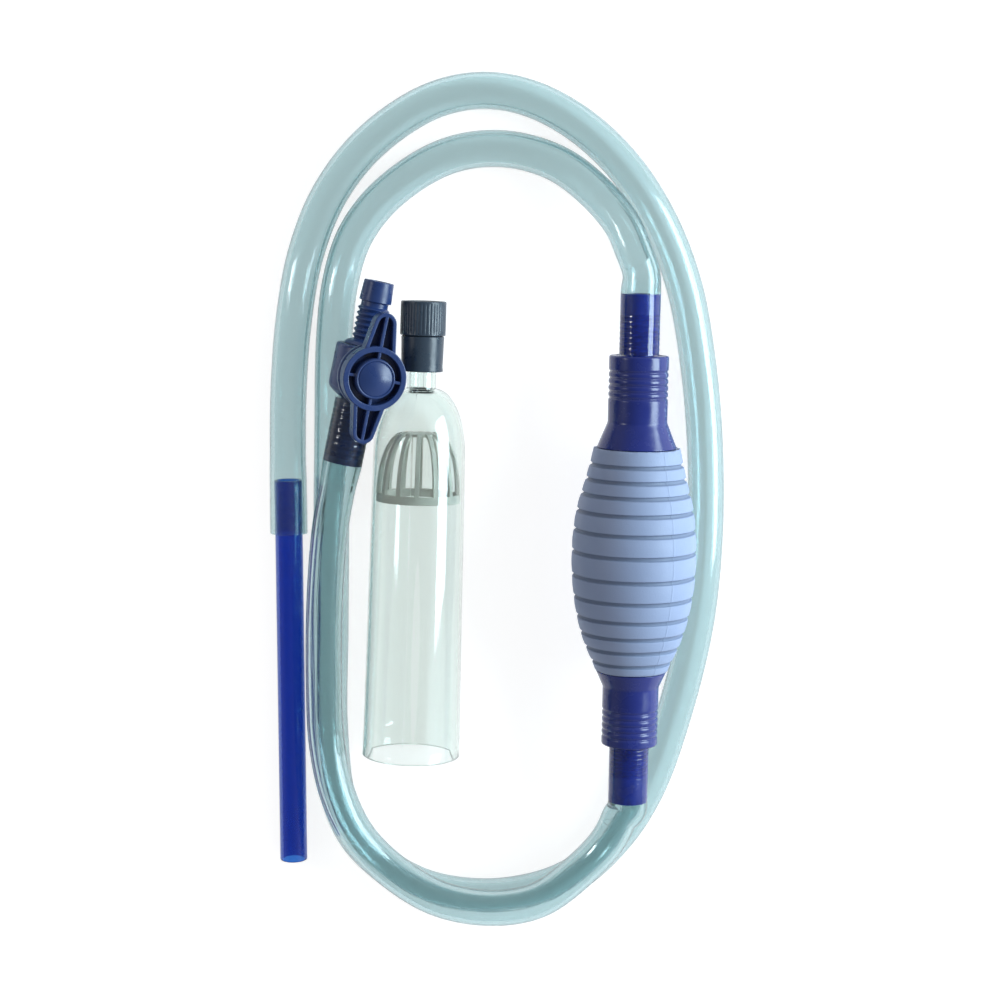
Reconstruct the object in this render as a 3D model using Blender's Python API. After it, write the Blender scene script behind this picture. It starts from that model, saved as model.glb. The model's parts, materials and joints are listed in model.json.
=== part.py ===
"""Gravel vacuum siphon, laid flat on a table as it is stored.

A squeeze bulb with a check valve in each end pulls water through a clear
gravel tube, a hand valve and two clear hoses, and out of a rigid blue pipe.

Metres, +Z up. The table is z = 0. +Y runs along the siphon, from the open
end of the outlet pipe to the free spigot of the hand valve. The origin is
under the middle of the hard pieces. Turned pieces are drawn as outlines of
(radius, station), where the station is measured along the piece's own axis.
"""
import math

import bmesh
import bpy
import numpy as np
from mathutils import Matrix, Vector

# ---------------------------------------------------------------- sizes
GAP = 0.0003                 # room between pieces that touch on the real object

LAYOUT_WIDTH = 0.2024        # over the bulb on one side and the outlet pipe on the other
LAYOUT_LENGTH = 0.2874       # from the open end of the pipe to the end of the spigot

# squeeze bulb: outline points (station, radius), and the grooves between its bands
BULB_LEAN = math.radians(1.0)
BULB_OUTLINE = ((0.0638, 0.0203), (0.0500, 0.0236), (0.0340, 0.0277), (0.0130, 0.0295),
                (-0.0080, 0.0281), (-0.0260, 0.0241), (-0.0430, 0.0171))
BULB_WALL = 0.0025
BULB_GROOVES = 12
GROOVE_CENTRE = 0.0090
GROOVE_MIDDLE_GAP = 0.0114
GROOVE_GAP_STEP = 0.0011
GROOVE_LEAST_GAP = 0.0070
GROOVE_WIDTH = 0.0022
GROOVE_DEPTH = 0.0010
PLUG_DEPTH = 0.0140          # how far an end cap reaches into the bulb

CAP_BORE = 0.0110            # radius of the bore that holds the seat and the barb
UPPER_CAP_WALL = 0.0031
UPPER_CAP_RADIUS = CAP_BORE + UPPER_CAP_WALL
UPPER_CAP_LENGTH = 0.0436
UPPER_SHOULDER_RADIUS = 0.0189
UPPER_PLUG_RADIUS = 0.0174
UPPER_CONE_LENGTH = 0.0119
LOWER_CAP_WALL = 0.00245
LOWER_CAP_RADIUS = CAP_BORE + LOWER_CAP_WALL
LOWER_CAP_LENGTH = 0.0360
LOWER_SHOULDER_RADIUS = 0.0169
LOWER_PLUG_RADIUS = 0.0143
LOWER_CONE_LENGTH = 0.0077
CAP_GROOVES = 5
CAP_GROOVE_PITCH = 0.0031
CAP_GROOVE_DEPTH = 0.0006
CAP_LEDGE_BORE = 0.0092
CAP_SKIRT_WALL = 0.0022
UPPER_LEDGE_RISE = 0.0152     # from the bulb's end to the ledge that the seat lies on
LOWER_PLUG_DEPTH = 0.0120     # from the lower rim to the end of the barb's plug

# check valves in the end caps
SEAT_HOLE = 0.0058
SEAT_THICKNESS = 0.0030
FLAP_RADIUS = 0.0072
FLAP_THICKNESS = 0.0012
FLAP_HINGE_HEIGHT = 0.0075
FLAP_TONGUE_WIDTH = 0.0046
FLAP_SWING_ROOM = 0.0118
RING_CORD = 0.0015           # thickness of the rubber sealing rings

# hose, barbs and cuffs
HOSE_RADIUS = 0.00875
BARB_CREST = 0.00765
BARB_ROOT = 0.0068
BARB_BORE = 0.0050
BARB_LENGTH = 0.0287
BARB_RINGS = 7
CUFF_RADIUS = 0.00965
PIPE_CUFF_RADIUS = 0.0090
PIPE_CUFF_LENGTH = 0.0260

# outlet pipe
PIPE_RADIUS = 0.0067
PIPE_BORE = 0.0054
PIPE_LENGTH = 0.1900

# gravel tube and its coupling
TUBE_MOUTH = (-0.0354, -0.0863)
TUBE_LEAN = math.radians(1.9)
TUBE_MOUTH_RADIUS = 0.02355
TUBE_TOP_RADIUS = 0.02190
TUBE_WALL = 0.0016
TUBE_STRAIGHT = 0.1460
TUBE_DOME = 0.0320
TUBE_NECK_RADIUS = 0.0069
TUBE_NECK_LENGTH = 0.0200
SOCKET_START = TUBE_STRAIGHT + TUBE_DOME + 0.0080  # station of the socket's lower face
SOCKET_RADIUS = 0.01018
SOCKET_LENGTH = 0.0168
SOCKET_SPIGOT_RADIUS = 0.0086
SOCKET_SPIGOT_LENGTH = 0.0110
SOCKET_BORE = 0.0062
COLLAR_RADIUS = 0.0108
COLLAR_LENGTH = 0.0162
COLLAR_LIP = 0.0026
COLLAR_MOUTH = 0.0080
COLLAR_FLUTES = 30
COLLAR_FLUTE_DEPTH = 0.0004
WASHER_THICKNESS = 0.0016
STRAINER_START = TUBE_STRAIGHT - 0.0220            # station of the strainer's base ring
STRAINER_HEIGHT = 0.0330
STRAINER_WALL = 0.0016
STRAINER_TOP_RADIUS = 0.0090
STRAINER_RING = 0.0040
STRAINER_SLOTS = 14
STRAINER_RIB_WIDTH = 0.0022

# hand valve
VALVE_CENTRE = (-0.0576, 0.1000)
VALVE_HEIGHT = 0.0285
VALVE_LEAN = math.radians(12.0)
VALVE_ROLL = math.radians(18.0)
BARREL_RADIUS = 0.0140
BARREL_LENGTH = 0.0240
CHAMBER_RADIUS = 0.0094
CHAMBER_DEPTH = 0.0097       # from the ball's centre to the lower end of the chamber
BALL_RADIUS = 0.0080
BALL_BORE = 0.0048
BALL_SEAT_START = 0.0069
BALL_SEAT_THICKNESS = 0.0023
VALVE_BARB_LENGTH = 0.0310
VALVE_BARB_RINGS = 8
SPIGOT_RADIUS = 0.00765
SPIGOT_LENGTH = 0.0100
SPIGOT_NECK_RADIUS = 0.0064
SPIGOT_NECK_LENGTH = 0.0022
COUPLER_RINGS = 6
COUPLER_RING_PITCH = 0.0026
COUPLER_PLUG = 0.0027
BONNET_RADIUS = 0.0090
BONNET_FLANGE_RADIUS = 0.0154
BONNET_FLANGE_START = BARREL_RADIUS + 0.0016
BONNET_FLANGE_THICKNESS = 0.0028
HANDLE_START = BONNET_FLANGE_START + BONNET_FLANGE_THICKNESS + 2 * GAP
STEM_RADIUS = 0.0032
STEM_TANG = (0.0026, 0.0060)
STEM_TOP = HANDLE_START + 0.0058
HANDLE_HEIGHT = 0.0080
HANDLE_RING_RADIUS = 0.0150
HANDLE_RING_WALL = 0.0028
HANDLE_HUB_RADIUS = 0.0094
HANDLE_HALF_LENGTH = 0.0307
HANDLE_ROOT_HALF_WIDTH = 0.0075
HANDLE_TIP_RADIUS = 0.0052
HANDLE_RIM = 0.0016
HANDLE_FLOOR = 0.0014
HANDLE_SPOKE = 0.0014

# hose routes: points that the centre lines pass through, in metres
LONG_HOSE_ROUTE = (
    (0.0702, 0.1570, 0.0278), (0.0650, 0.1690, 0.0242),
    (0.0535, 0.1830, 0.0185), (0.0364, 0.1965, 0.0125), (0.0174, 0.2032, 0.0095),
    (-0.0010, 0.2042, 0.0088), (-0.0182, 0.2004, 0.0088), (-0.0349, 0.1915, 0.0088),
    (-0.0510, 0.1778, 0.0088), (-0.0620, 0.1618, 0.0088), (-0.0685, 0.1410, 0.0088),
    (-0.0716, 0.1150, 0.0088), (-0.0730, 0.0700, 0.0088), (-0.0740, 0.0200, 0.0088),
    (-0.0748, -0.0300, 0.0088), (-0.0755, -0.0750, 0.0088), (-0.0715, -0.1130, 0.0088),
    (-0.0600, -0.1360, 0.0088), (-0.0330, -0.1560, 0.0088), (0.0044, -0.1620, 0.0088),
    (0.0410, -0.1530, 0.0088), (0.0640, -0.1330, 0.0088), (0.0800, -0.1080, 0.0088),
    (0.0932, -0.0700, 0.0088), (0.1035, -0.0250, 0.0088), (0.1074, 0.0180, 0.0088),
    (0.1069, 0.0630, 0.0088), (0.1030, 0.1030, 0.0088), (0.0958, 0.1400, 0.0088),
    (0.0842, 0.1695, 0.0088), (0.0680, 0.1945, 0.0088), (0.0467, 0.2147, 0.0088),
    (0.0230, 0.2275, 0.0088), (0.0008, 0.2315, 0.0088), (-0.0205, 0.2280, 0.0088),
    (-0.0400, 0.2180, 0.0088), (-0.0590, 0.2020, 0.0088), (-0.0745, 0.1805, 0.0088),
    (-0.0850, 0.1540, 0.0088), (-0.0908, 0.1240, 0.0088), (-0.0938, 0.0900, 0.0090))
SHORT_HOSE_ROUTE = (
    (0.0659, -0.1160, 0.0290), (0.0633, -0.1220, 0.0287), (0.0586, -0.1301, 0.0283),
    (0.0473, -0.1425, 0.0275), (0.0270, -0.1580, 0.0269), (0.0044, -0.1622, 0.0268),
    (-0.0220, -0.1575, 0.0268),
    (-0.0440, -0.1440, 0.0268), (-0.0605, -0.1270, 0.0268), (-0.0705, -0.1060, 0.0268),
    (-0.0757, -0.0800, 0.0268), (-0.0768, -0.0500, 0.0268), (-0.0760, -0.0100, 0.0268),
    (-0.0730, 0.0250, 0.0270))
LONG_HOSE_POINTS = 56
SHORT_HOSE_POINTS = 19
HOSE_LEAD = 0.0090           # straight stretch of hose past the end of a fitting
LOWER_BARB_LEAD = 0.0030     # the same past the lower barb, where the hose bends at once

SIDES_LARGE = 32
SIDES_SMALL = 20
DOME_STEPS = 7


# ---------------------------------------------------------------- helpers
def clear_scene():
    """Remove every object of the start-up scene."""
    for old in list(bpy.data.objects):
        bpy.data.objects.remove(old, do_unlink=True)


def plastic(name, colour, roughness=0.4, transmission=0.0):
    """A Principled material; transmission above 0 is for clear plastic."""
    material = bpy.data.materials.new(name)
    material.use_nodes = True
    shader = material.node_tree.nodes["Principled BSDF"]
    shader.inputs["Base Color"].default_value = (*colour, 1.0)
    shader.inputs["Roughness"].default_value = roughness
    shader.inputs["Metallic"].default_value = 0.0
    shader.inputs["Transmission Weight"].default_value = transmission
    material.diffuse_color = (*colour, 1.0)
    return material


def axis_empty(name, matrix):
    """An empty whose local axes carry the pieces that are placed on it."""
    empty = bpy.data.objects.new(name, None)
    bpy.context.collection.objects.link(empty)
    empty.matrix_world = matrix
    return empty


def frame_matrix(x_axis, y_axis, z_axis, place):
    """The matrix with these three columns and this location."""
    rotation = Matrix((x_axis, y_axis, z_axis)).transposed()
    return Matrix.Translation(place) @ rotation.to_4x4()


def add_object(name, mesh, material, parent=None, place=(0.0, 0.0, 0.0)):
    """Link a mesh as a named object on its axis empty, shaded smooth."""
    mesh.materials.append(material)
    mesh.shade_smooth()
    mesh.set_sharp_from_angle(angle=math.radians(35))
    piece = bpy.data.objects.new(name, mesh)
    bpy.context.collection.objects.link(piece)
    piece.parent = parent
    piece.location = place
    return piece


def finish_mesh(name, bm):
    """Weld, point the faces outwards and return the mesh."""
    bmesh.ops.remove_doubles(bm, verts=bm.verts, dist=1e-7)
    bmesh.ops.recalc_face_normals(bm, faces=bm.faces)
    mesh = bpy.data.meshes.new(name)
    bm.to_mesh(mesh)
    bm.free()
    return mesh


def turned_mesh(name, outline, sides):
    """Spin a closed outline of (radius, station) points about the local Z axis."""
    bm = bmesh.new()
    verts = [bm.verts.new((radius, 0.0, station)) for radius, station in outline]
    edges = [bm.edges.new((verts[i - 1], verts[i])) for i in range(len(verts))]
    bmesh.ops.spin(bm, geom=verts + edges, cent=(0, 0, 0), axis=(0, 0, 1),
                   angle=2 * math.pi, steps=sides)
    return finish_mesh(name, bm)


def turned(name, outline, material, parent, sides=SIDES_SMALL):
    """A turned piece on an axis empty."""
    return add_object(name, turned_mesh(name, outline, sides), material, parent)


def extruded_mesh(name, outlines, low, high):
    """Closed flat outlines, each extruded along Z from low to high."""
    bm = bmesh.new()
    for outline in outlines:
        floor = bm.faces.new([bm.verts.new((x, y, low)) for x, y in outline])
        made = bmesh.ops.extrude_face_region(bm, geom=[floor])["geom"]
        top = [item for item in made if isinstance(item, bmesh.types.BMVert)]
        bmesh.ops.translate(bm, verts=top, vec=(0, 0, high - low))
    return finish_mesh(name, bm)


def cutter(name, mesh, parent):
    """A hidden object that a Boolean uses."""
    tool = bpy.data.objects.new(name, mesh)
    bpy.context.collection.objects.link(tool)
    tool.parent = parent
    tool.hide_render = True
    tool.display_type = "WIRE"
    return tool


def boolean(piece, tool, operation="DIFFERENCE"):
    """An exact Boolean that stays on the piece."""
    modifier = piece.modifiers.new(tool.name, "BOOLEAN")
    modifier.operation = operation
    modifier.solver = "EXACT"
    modifier.object = tool


def arc(centre, radius, start, end, count):
    """Points along a circular arc, angles in degrees."""
    angles = np.radians(np.linspace(start, end, count))
    return [(centre[0] + radius * math.cos(a), centre[1] + radius * math.sin(a)) for a in angles]


def smooth_curve(points, samples_per_span=12):
    """A Catmull-Rom curve through the points, spaced by the chords between them."""
    route = np.array(points, dtype=float)
    route = np.vstack([2 * route[0] - route[1], route, 2 * route[-1] - route[-2]])
    knots = np.concatenate([[0.0], np.cumsum(np.linalg.norm(np.diff(route, axis=0), axis=1) ** 0.5)])
    curve = []
    for i in range(1, len(route) - 2):
        p0, p1, p2, p3 = route[i - 1:i + 3]
        t0, t1, t2, t3 = knots[i - 1:i + 3]
        t = np.linspace(t1, t2, samples_per_span, endpoint=False)[:, None]
        a1 = (t1 - t) / (t1 - t0) * p0 + (t - t0) / (t1 - t0) * p1
        a2 = (t2 - t) / (t2 - t1) * p1 + (t - t1) / (t2 - t1) * p2
        a3 = (t3 - t) / (t3 - t2) * p2 + (t - t2) / (t3 - t2) * p3
        b1 = (t2 - t) / (t2 - t0) * a1 + (t - t0) / (t2 - t0) * a2
        b2 = (t3 - t) / (t3 - t1) * a2 + (t - t1) / (t3 - t1) * a3
        curve.append((t2 - t) / (t2 - t1) * b1 + (t - t1) / (t2 - t1) * b2)
    return np.vstack(curve + [route[-2][None]])


def evenly_spaced(curve, count):
    """The curve read again at equal lengths along it."""
    steps = np.linalg.norm(np.diff(curve, axis=0), axis=1)
    along = np.concatenate([[0.0], np.cumsum(steps)])
    wanted = np.linspace(0.0, along[-1], count)
    return np.column_stack([np.interp(wanted, along, curve[:, k]) for k in range(curve.shape[1])])


def ring_outline(inner, outer, low, high):
    """A plain washer or sleeve."""
    return [(outer, low), (outer, high), (inner, high), (inner, low)]


def rubber_ring(name, inner, station, material, parent):
    """A sealing ring of round section, lying in its groove at this station."""
    radius = RING_CORD / 2
    outline = arc((inner + radius, station), radius, 0, 300, 6)
    return turned(name, outline, material, parent, SIDES_SMALL)


def ringed(start, step, rings, crest, root):
    """Teeth along a barb, each one from a root to a crest."""
    points = []
    for i in range(rings):
        points.append((root, start + i * step))
        points.append((crest, start + (i + 0.6) * step))
    return points


def grooved(start, step, grooves, radius, depth):
    """V grooves around a cylinder of this radius."""
    points = []
    for i in range(grooves):
        place = start + i * step
        points.append((radius, place - 0.2 * step))
        points.append((radius - depth, place))
        points.append((radius, place + 0.2 * step))
    return points


# ---------------------------------------------------------------- squeeze bulb and its ends
def bulb_curve():
    """The bulb's smooth outline as stations and radii, from its lower end to its upper end."""
    curve = smooth_curve(BULB_OUTLINE)[::-1]
    return curve[:, 0], curve[:, 1]


def bulb_radius(station):
    """Outer radius of the bulb at a station."""
    stations, radii = bulb_curve()
    return float(np.interp(station, stations, radii))


BULB_HEIGHT = float(bulb_curve()[1].max())
BULB_REACH = float((bulb_curve()[0] * math.sin(BULB_LEAN) + bulb_curve()[1] * math.cos(BULB_LEAN)).max())
BULB_PLACE = Vector((LAYOUT_WIDTH / 2 - BULB_REACH, 0.0, BULB_HEIGHT))
BULB_ALONG = Vector((math.sin(BULB_LEAN), math.cos(BULB_LEAN), 0.0))
BULB_TOP = BULB_OUTLINE[0][0]
BULB_BOTTOM = BULB_OUTLINE[-1][0]


def groove_stations():
    """Groove places: the gaps shrink by one step from the middle to each end."""
    half = [GROOVE_MIDDLE_GAP / 2]
    for k in range(1, BULB_GROOVES // 2):
        half.append(half[-1] + max(GROOVE_MIDDLE_GAP - k * GROOVE_GAP_STEP, GROOVE_LEAST_GAP))
    return sorted([GROOVE_CENTRE - d for d in half] + [GROOVE_CENTRE + d for d in half])


def squeeze_bulb(material, axis):
    """A hollow soft bulb with grooves around it and a round mouth at each end."""
    upper_mouth = UPPER_PLUG_RADIUS + GAP
    lower_mouth = LOWER_PLUG_RADIUS + GAP
    outer = [(bulb_radius(BULB_BOTTOM), BULB_BOTTOM)]
    for place in groove_stations():
        outer.append((bulb_radius(place - GROOVE_WIDTH / 2), place - GROOVE_WIDTH / 2))
        outer.append((bulb_radius(place) - GROOVE_DEPTH, place))
        outer.append((bulb_radius(place + GROOVE_WIDTH / 2), place + GROOVE_WIDTH / 2))
    outer.append((bulb_radius(BULB_TOP), BULB_TOP))
    upper_end = BULB_TOP - PLUG_DEPTH - 0.002
    lower_end = BULB_BOTTOM + PLUG_DEPTH + 0.002
    inner = [(upper_mouth, BULB_TOP), (upper_mouth, upper_end)]
    for place in np.linspace(upper_end - 0.004, lower_end + 0.004, 7):
        inner.append((bulb_radius(place) - BULB_WALL, place))
    inner += [(lower_mouth, lower_end), (lower_mouth, BULB_BOTTOM)]
    return turned("squeeze_bulb", outer + inner, material, axis, SIDES_LARGE)


def upper_cap(material, axis):
    """Blue cap in the bulb's upper mouth: plug, shoulder, cone, ribbed grip and rim."""
    seat_ledge = upper_stations()["ledge"]
    shoulder = BULB_TOP + GAP
    cone_end = shoulder + UPPER_CONE_LENGTH
    rim = shoulder + UPPER_CAP_LENGTH
    plug_end = BULB_TOP - PLUG_DEPTH
    skirt = UPPER_PLUG_RADIUS - CAP_SKIRT_WALL
    outline = [(skirt, plug_end), (UPPER_PLUG_RADIUS, plug_end), (UPPER_PLUG_RADIUS, shoulder),
               (UPPER_SHOULDER_RADIUS, shoulder), (UPPER_CAP_RADIUS, cone_end)]
    outline += grooved(rim - 0.0075 - (CAP_GROOVES - 1) * CAP_GROOVE_PITCH, CAP_GROOVE_PITCH,
                       CAP_GROOVES, UPPER_CAP_RADIUS, CAP_GROOVE_DEPTH)
    outline += [(UPPER_CAP_RADIUS, rim - 0.0008), (UPPER_CAP_RADIUS - 0.0008, rim), (CAP_BORE, rim),
                (CAP_BORE, seat_ledge), (CAP_LEDGE_BORE, seat_ledge),
                (CAP_LEDGE_BORE, seat_ledge - 0.003), (skirt, shoulder - 0.001)]
    return turned("upper_end_cap", outline, material, axis)


def lower_cap(material, axis):
    """Blue cap in the bulb's lower mouth, with the grooves near its rim."""
    ledge = lower_stations()["ledge"]
    shoulder = BULB_BOTTOM - GAP
    cone_end = shoulder - LOWER_CONE_LENGTH
    rim = shoulder - LOWER_CAP_LENGTH
    plug_end = BULB_BOTTOM + PLUG_DEPTH
    skirt = LOWER_PLUG_RADIUS - CAP_SKIRT_WALL
    grooves = grooved(rim + 0.0045, CAP_GROOVE_PITCH, CAP_GROOVES, LOWER_CAP_RADIUS, CAP_GROOVE_DEPTH)
    outline = [(CAP_BORE, rim), (LOWER_CAP_RADIUS - 0.0008, rim), (LOWER_CAP_RADIUS, rim + 0.0008)]
    outline += grooves
    outline += [(LOWER_CAP_RADIUS, cone_end), (LOWER_SHOULDER_RADIUS, shoulder),
                (LOWER_PLUG_RADIUS, shoulder), (LOWER_PLUG_RADIUS, plug_end), (skirt, plug_end),
                (skirt, shoulder), (CAP_LEDGE_BORE, shoulder - 0.003), (CAP_LEDGE_BORE, ledge),
                (CAP_BORE, ledge)]
    return turned("lower_end_cap", outline, material, axis)


def upper_stations():
    """Places of the inner pieces of the upper cap, from the ledge outwards."""
    ledge = BULB_TOP + UPPER_LEDGE_RISE
    seat = ledge + GAP
    flap = seat + SEAT_THICKNESS + GAP
    plug = flap + FLAP_SWING_ROOM
    rim = BULB_TOP + GAP + UPPER_CAP_LENGTH
    return {"ledge": ledge, "seat": seat, "flap": flap, "plug": plug, "rim": rim}


def lower_stations():
    """Places of the inner pieces of the lower cap, from the rim inwards."""
    rim = BULB_BOTTOM - GAP - LOWER_CAP_LENGTH
    plug = rim + LOWER_PLUG_DEPTH
    seat = plug + GAP
    ledge = seat + SEAT_THICKNESS + GAP
    return {"rim": rim, "plug": plug, "seat": seat, "ledge": ledge, "flap": ledge}


def hose_barb(name, rim, plug, out, step, material, axis):
    """A barb insert: a plug inside the cap and a ringed spout; out is +1 or -1 along the axis."""
    plug_radius = CAP_BORE - GAP
    ring_place = (rim + plug) / 2
    half_groove = RING_CORD / 2 + GAP
    groove_floor = plug_radius - RING_CORD
    tip = rim + out * BARB_LENGTH
    teeth_start = rim + out * 0.0006
    outline = [(BARB_BORE, plug), (plug_radius, plug),
               (plug_radius, ring_place - out * half_groove), (groove_floor, ring_place - out * half_groove),
               (groove_floor, ring_place + out * half_groove), (plug_radius, ring_place + out * half_groove),
               (plug_radius, rim - out * GAP), (BARB_ROOT, rim - out * GAP)]
    outline += ringed(teeth_start, out * step, BARB_RINGS, BARB_CREST, BARB_ROOT)
    outline += [(BARB_ROOT, teeth_start + out * BARB_RINGS * step),
                (BARB_CREST, teeth_start + out * (BARB_RINGS * step + 0.001)),
                (BARB_CREST, tip - out * 0.004), (BARB_CREST - 0.0006, tip), (BARB_BORE, tip)]
    return turned(name, outline, material, axis)


def barb_ring_groove_floor():
    """Inner radius of the rubber ring on a barb's plug."""
    return CAP_BORE - GAP - RING_CORD + GAP / 2


def flap_outline():
    """A disc with a tongue that reaches up to the hinge line."""
    half = FLAP_TONGUE_WIDTH / 2
    start = math.degrees(math.acos(half / FLAP_RADIUS))
    outline = arc((0.0, 0.0), FLAP_RADIUS, 180 - start, 360 + start, 22)
    top = FLAP_HINGE_HEIGHT + 0.0005
    return outline + [(half, top), (-half, top)]


def check_flap(name, station, material, axis):
    """A rubber flap whose origin is on its hinge line, at the top of the disc."""
    outline = [(x, y - FLAP_HINGE_HEIGHT) for x, y in flap_outline()]
    mesh = extruded_mesh(name, [outline], 0.0, FLAP_THICKNESS)
    flap = add_object(name, mesh, material, axis, (0.0, -FLAP_HINGE_HEIGHT, station))
    flap.rotation_euler = (0.0, 0.0, math.pi)
    return flap


def bulb_assembly(mats):
    """The squeeze bulb, its two caps and what each cap holds."""
    across = BULB_ALONG.cross(Vector((0, 0, 1)))
    axis = axis_empty("bulb_axis", frame_matrix(across, Vector((0, 0, -1)), BULB_ALONG, BULB_PLACE))
    squeeze_bulb(mats["bulb"], axis)
    upper_cap(mats["blue"], axis)
    lower_cap(mats["blue"], axis)
    up = upper_stations()
    low = lower_stations()
    hose_barb("upper_hose_barb", up["rim"], up["plug"], 1, 0.0025, mats["blue"], axis)
    hose_barb("lower_hose_barb", low["rim"], low["plug"], -1, 0.0020, mats["blue"], axis)
    seat_radius = CAP_BORE - GAP
    for name, start in (("upper_valve_seat", up["seat"]), ("lower_valve_seat", low["seat"])):
        turned(name, ring_outline(SEAT_HOLE, seat_radius, start, start + SEAT_THICKNESS),
               mats["white"], axis)
    check_flap("upper_check_flap", up["flap"], mats["rubber"], axis)
    check_flap("lower_check_flap", low["flap"], mats["rubber"], axis)
    floor = barb_ring_groove_floor()
    rubber_ring("upper_seal_ring", floor, (up["rim"] + up["plug"]) / 2, mats["rubber"], axis)
    rubber_ring("lower_seal_ring", floor, (low["rim"] + low["plug"]) / 2, mats["rubber"], axis)
    inner = BARB_CREST + GAP
    turned("long_hose_cuff", ring_outline(inner, CUFF_RADIUS, up["rim"] + GAP, up["rim"] + BARB_LENGTH),
           mats["hose"], axis)
    turned("short_hose_cuff",
           ring_outline(inner, CUFF_RADIUS, low["rim"] - BARB_LENGTH, low["rim"] - GAP),
           mats["hose"], axis)
    return up["rim"] + BARB_LENGTH, low["rim"] - BARB_LENGTH


# ---------------------------------------------------------------- outlet pipe
def pipe_axis_matrix():
    """Local Z runs up the pipe; its open end lies on the table and the cuff on it clears the table."""
    bare = PIPE_LENGTH - PIPE_CUFF_LENGTH
    rise = (PIPE_CUFF_RADIUS + GAP - PIPE_RADIUS) * PIPE_LENGTH / bare
    tilt = math.asin(rise / PIPE_LENGTH)
    low_end = Vector((-LAYOUT_WIDTH / 2 + PIPE_RADIUS,
                      -LAYOUT_LENGTH / 2 + PIPE_RADIUS * math.sin(tilt),
                      PIPE_RADIUS * math.cos(tilt)))
    turn = Matrix.Rotation(tilt - math.pi / 2, 4, "X")
    return Matrix.Translation(low_end) @ turn


def outlet_pipe(mats):
    """The rigid pipe and the cuff of the hose that is pushed onto it."""
    axis = axis_empty("pipe_axis", pipe_axis_matrix())
    soft_edge = 0.0004
    outline = [(PIPE_BORE, 0.0), (PIPE_RADIUS - soft_edge, 0.0), (PIPE_RADIUS, soft_edge),
               (PIPE_RADIUS, PIPE_LENGTH), (PIPE_BORE, PIPE_LENGTH)]
    turned("outlet_pipe", outline, mats["clear_blue"], axis)
    cuff = ring_outline(PIPE_RADIUS + GAP, PIPE_CUFF_RADIUS, PIPE_LENGTH - PIPE_CUFF_LENGTH, PIPE_LENGTH)
    turned("pipe_cuff", cuff, mats["hose"], axis)


# ---------------------------------------------------------------- gravel tube
def tube_axis_matrix():
    """Local Z runs up the tube. The tube lies on its side wall, which tapers."""
    taper = math.atan((TUBE_MOUTH_RADIUS - TUBE_TOP_RADIUS) / TUBE_STRAIGHT)
    along = Vector((math.sin(TUBE_LEAN) * math.cos(taper), math.cos(TUBE_LEAN) * math.cos(taper),
                    -math.sin(taper)))
    side = along.cross(Vector((0, 0, 1))).normalized()
    up = side.cross(along)
    height = TUBE_MOUTH_RADIUS / math.cos(taper) - TUBE_MOUTH_RADIUS * math.sin(taper) * math.tan(taper)
    return frame_matrix(side, -up, along, (TUBE_MOUTH[0], TUBE_MOUTH[1], height))


def tube_inner_radius(station):
    """Radius of the tube's bore along its straight, tapered stretch."""
    share = station / TUBE_STRAIGHT
    return TUBE_MOUTH_RADIUS + (TUBE_TOP_RADIUS - TUBE_MOUTH_RADIUS) * share - TUBE_WALL


def dome(radius, neck, start, height, count):
    """A quarter of an ellipse from the wall to the neck."""
    angles = np.linspace(0.0, math.pi / 2, count)
    return [(neck + (radius - neck) * math.cos(a), start + height * math.sin(a)) for a in angles]


def gravel_tube(material, axis):
    """The clear tube: open mouth, tapered wall, domed shoulder and narrow neck."""
    neck_top = TUBE_STRAIGHT + TUBE_DOME + TUBE_NECK_LENGTH
    outer = [(TUBE_MOUTH_RADIUS, 0.0)]
    outer += dome(TUBE_TOP_RADIUS, TUBE_NECK_RADIUS, TUBE_STRAIGHT, TUBE_DOME, DOME_STEPS)
    outer += [(TUBE_NECK_RADIUS, neck_top)]
    inner = [(TUBE_NECK_RADIUS - TUBE_WALL, neck_top)]
    inner += dome(TUBE_TOP_RADIUS - TUBE_WALL, TUBE_NECK_RADIUS - TUBE_WALL, TUBE_STRAIGHT,
                  TUBE_DOME - TUBE_WALL, DOME_STEPS)[::-1]
    inner += [(TUBE_MOUTH_RADIUS - TUBE_WALL, 0.0)]
    return turned("gravel_tube", outer + inner, material, axis, SIDES_LARGE)


def strainer_slot(index, inner, outer):
    """One wedge-shaped slot seen from above; the ribs between slots keep one width."""
    corners = []
    for radius, side in ((inner, -1), (outer, -1), (outer, 1), (inner, 1)):
        half = math.pi / STRAINER_SLOTS - math.asin(STRAINER_RIB_WIDTH / 2 / radius)
        angle = 2 * math.pi * index / STRAINER_SLOTS + side * half
        corners.append((radius * math.cos(angle), radius * math.sin(angle)))
    return corners


def strainer(material, axis):
    """A slotted dome on a base ring, pushed up into the tube to keep gravel and fish out."""
    base = tube_inner_radius(STRAINER_START) - 2 * GAP
    base_top = STRAINER_START + STRAINER_RING
    top = STRAINER_START + STRAINER_HEIGHT
    rise = top - base_top
    outer = [(base, STRAINER_START)]
    outer += dome(base, STRAINER_TOP_RADIUS, base_top, rise, 6)
    inner = [(0.0, top - STRAINER_WALL)]
    inner += dome(base - STRAINER_WALL, STRAINER_TOP_RADIUS - STRAINER_WALL, base_top,
                  rise - STRAINER_WALL, 6)[::-1]
    inner += [(base - STRAINER_WALL, STRAINER_START)]
    piece = turned("strainer", outer + [(0.0, top)] + inner, material, axis, SIDES_SMALL)
    slots = [strainer_slot(i, STRAINER_TOP_RADIUS - 0.003, base + 0.004) for i in range(STRAINER_SLOTS)]
    mesh = extruded_mesh("strainer_slots", slots, base_top, top - 0.003)
    boolean(piece, cutter("strainer_slots", mesh, axis))
    return piece


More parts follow.
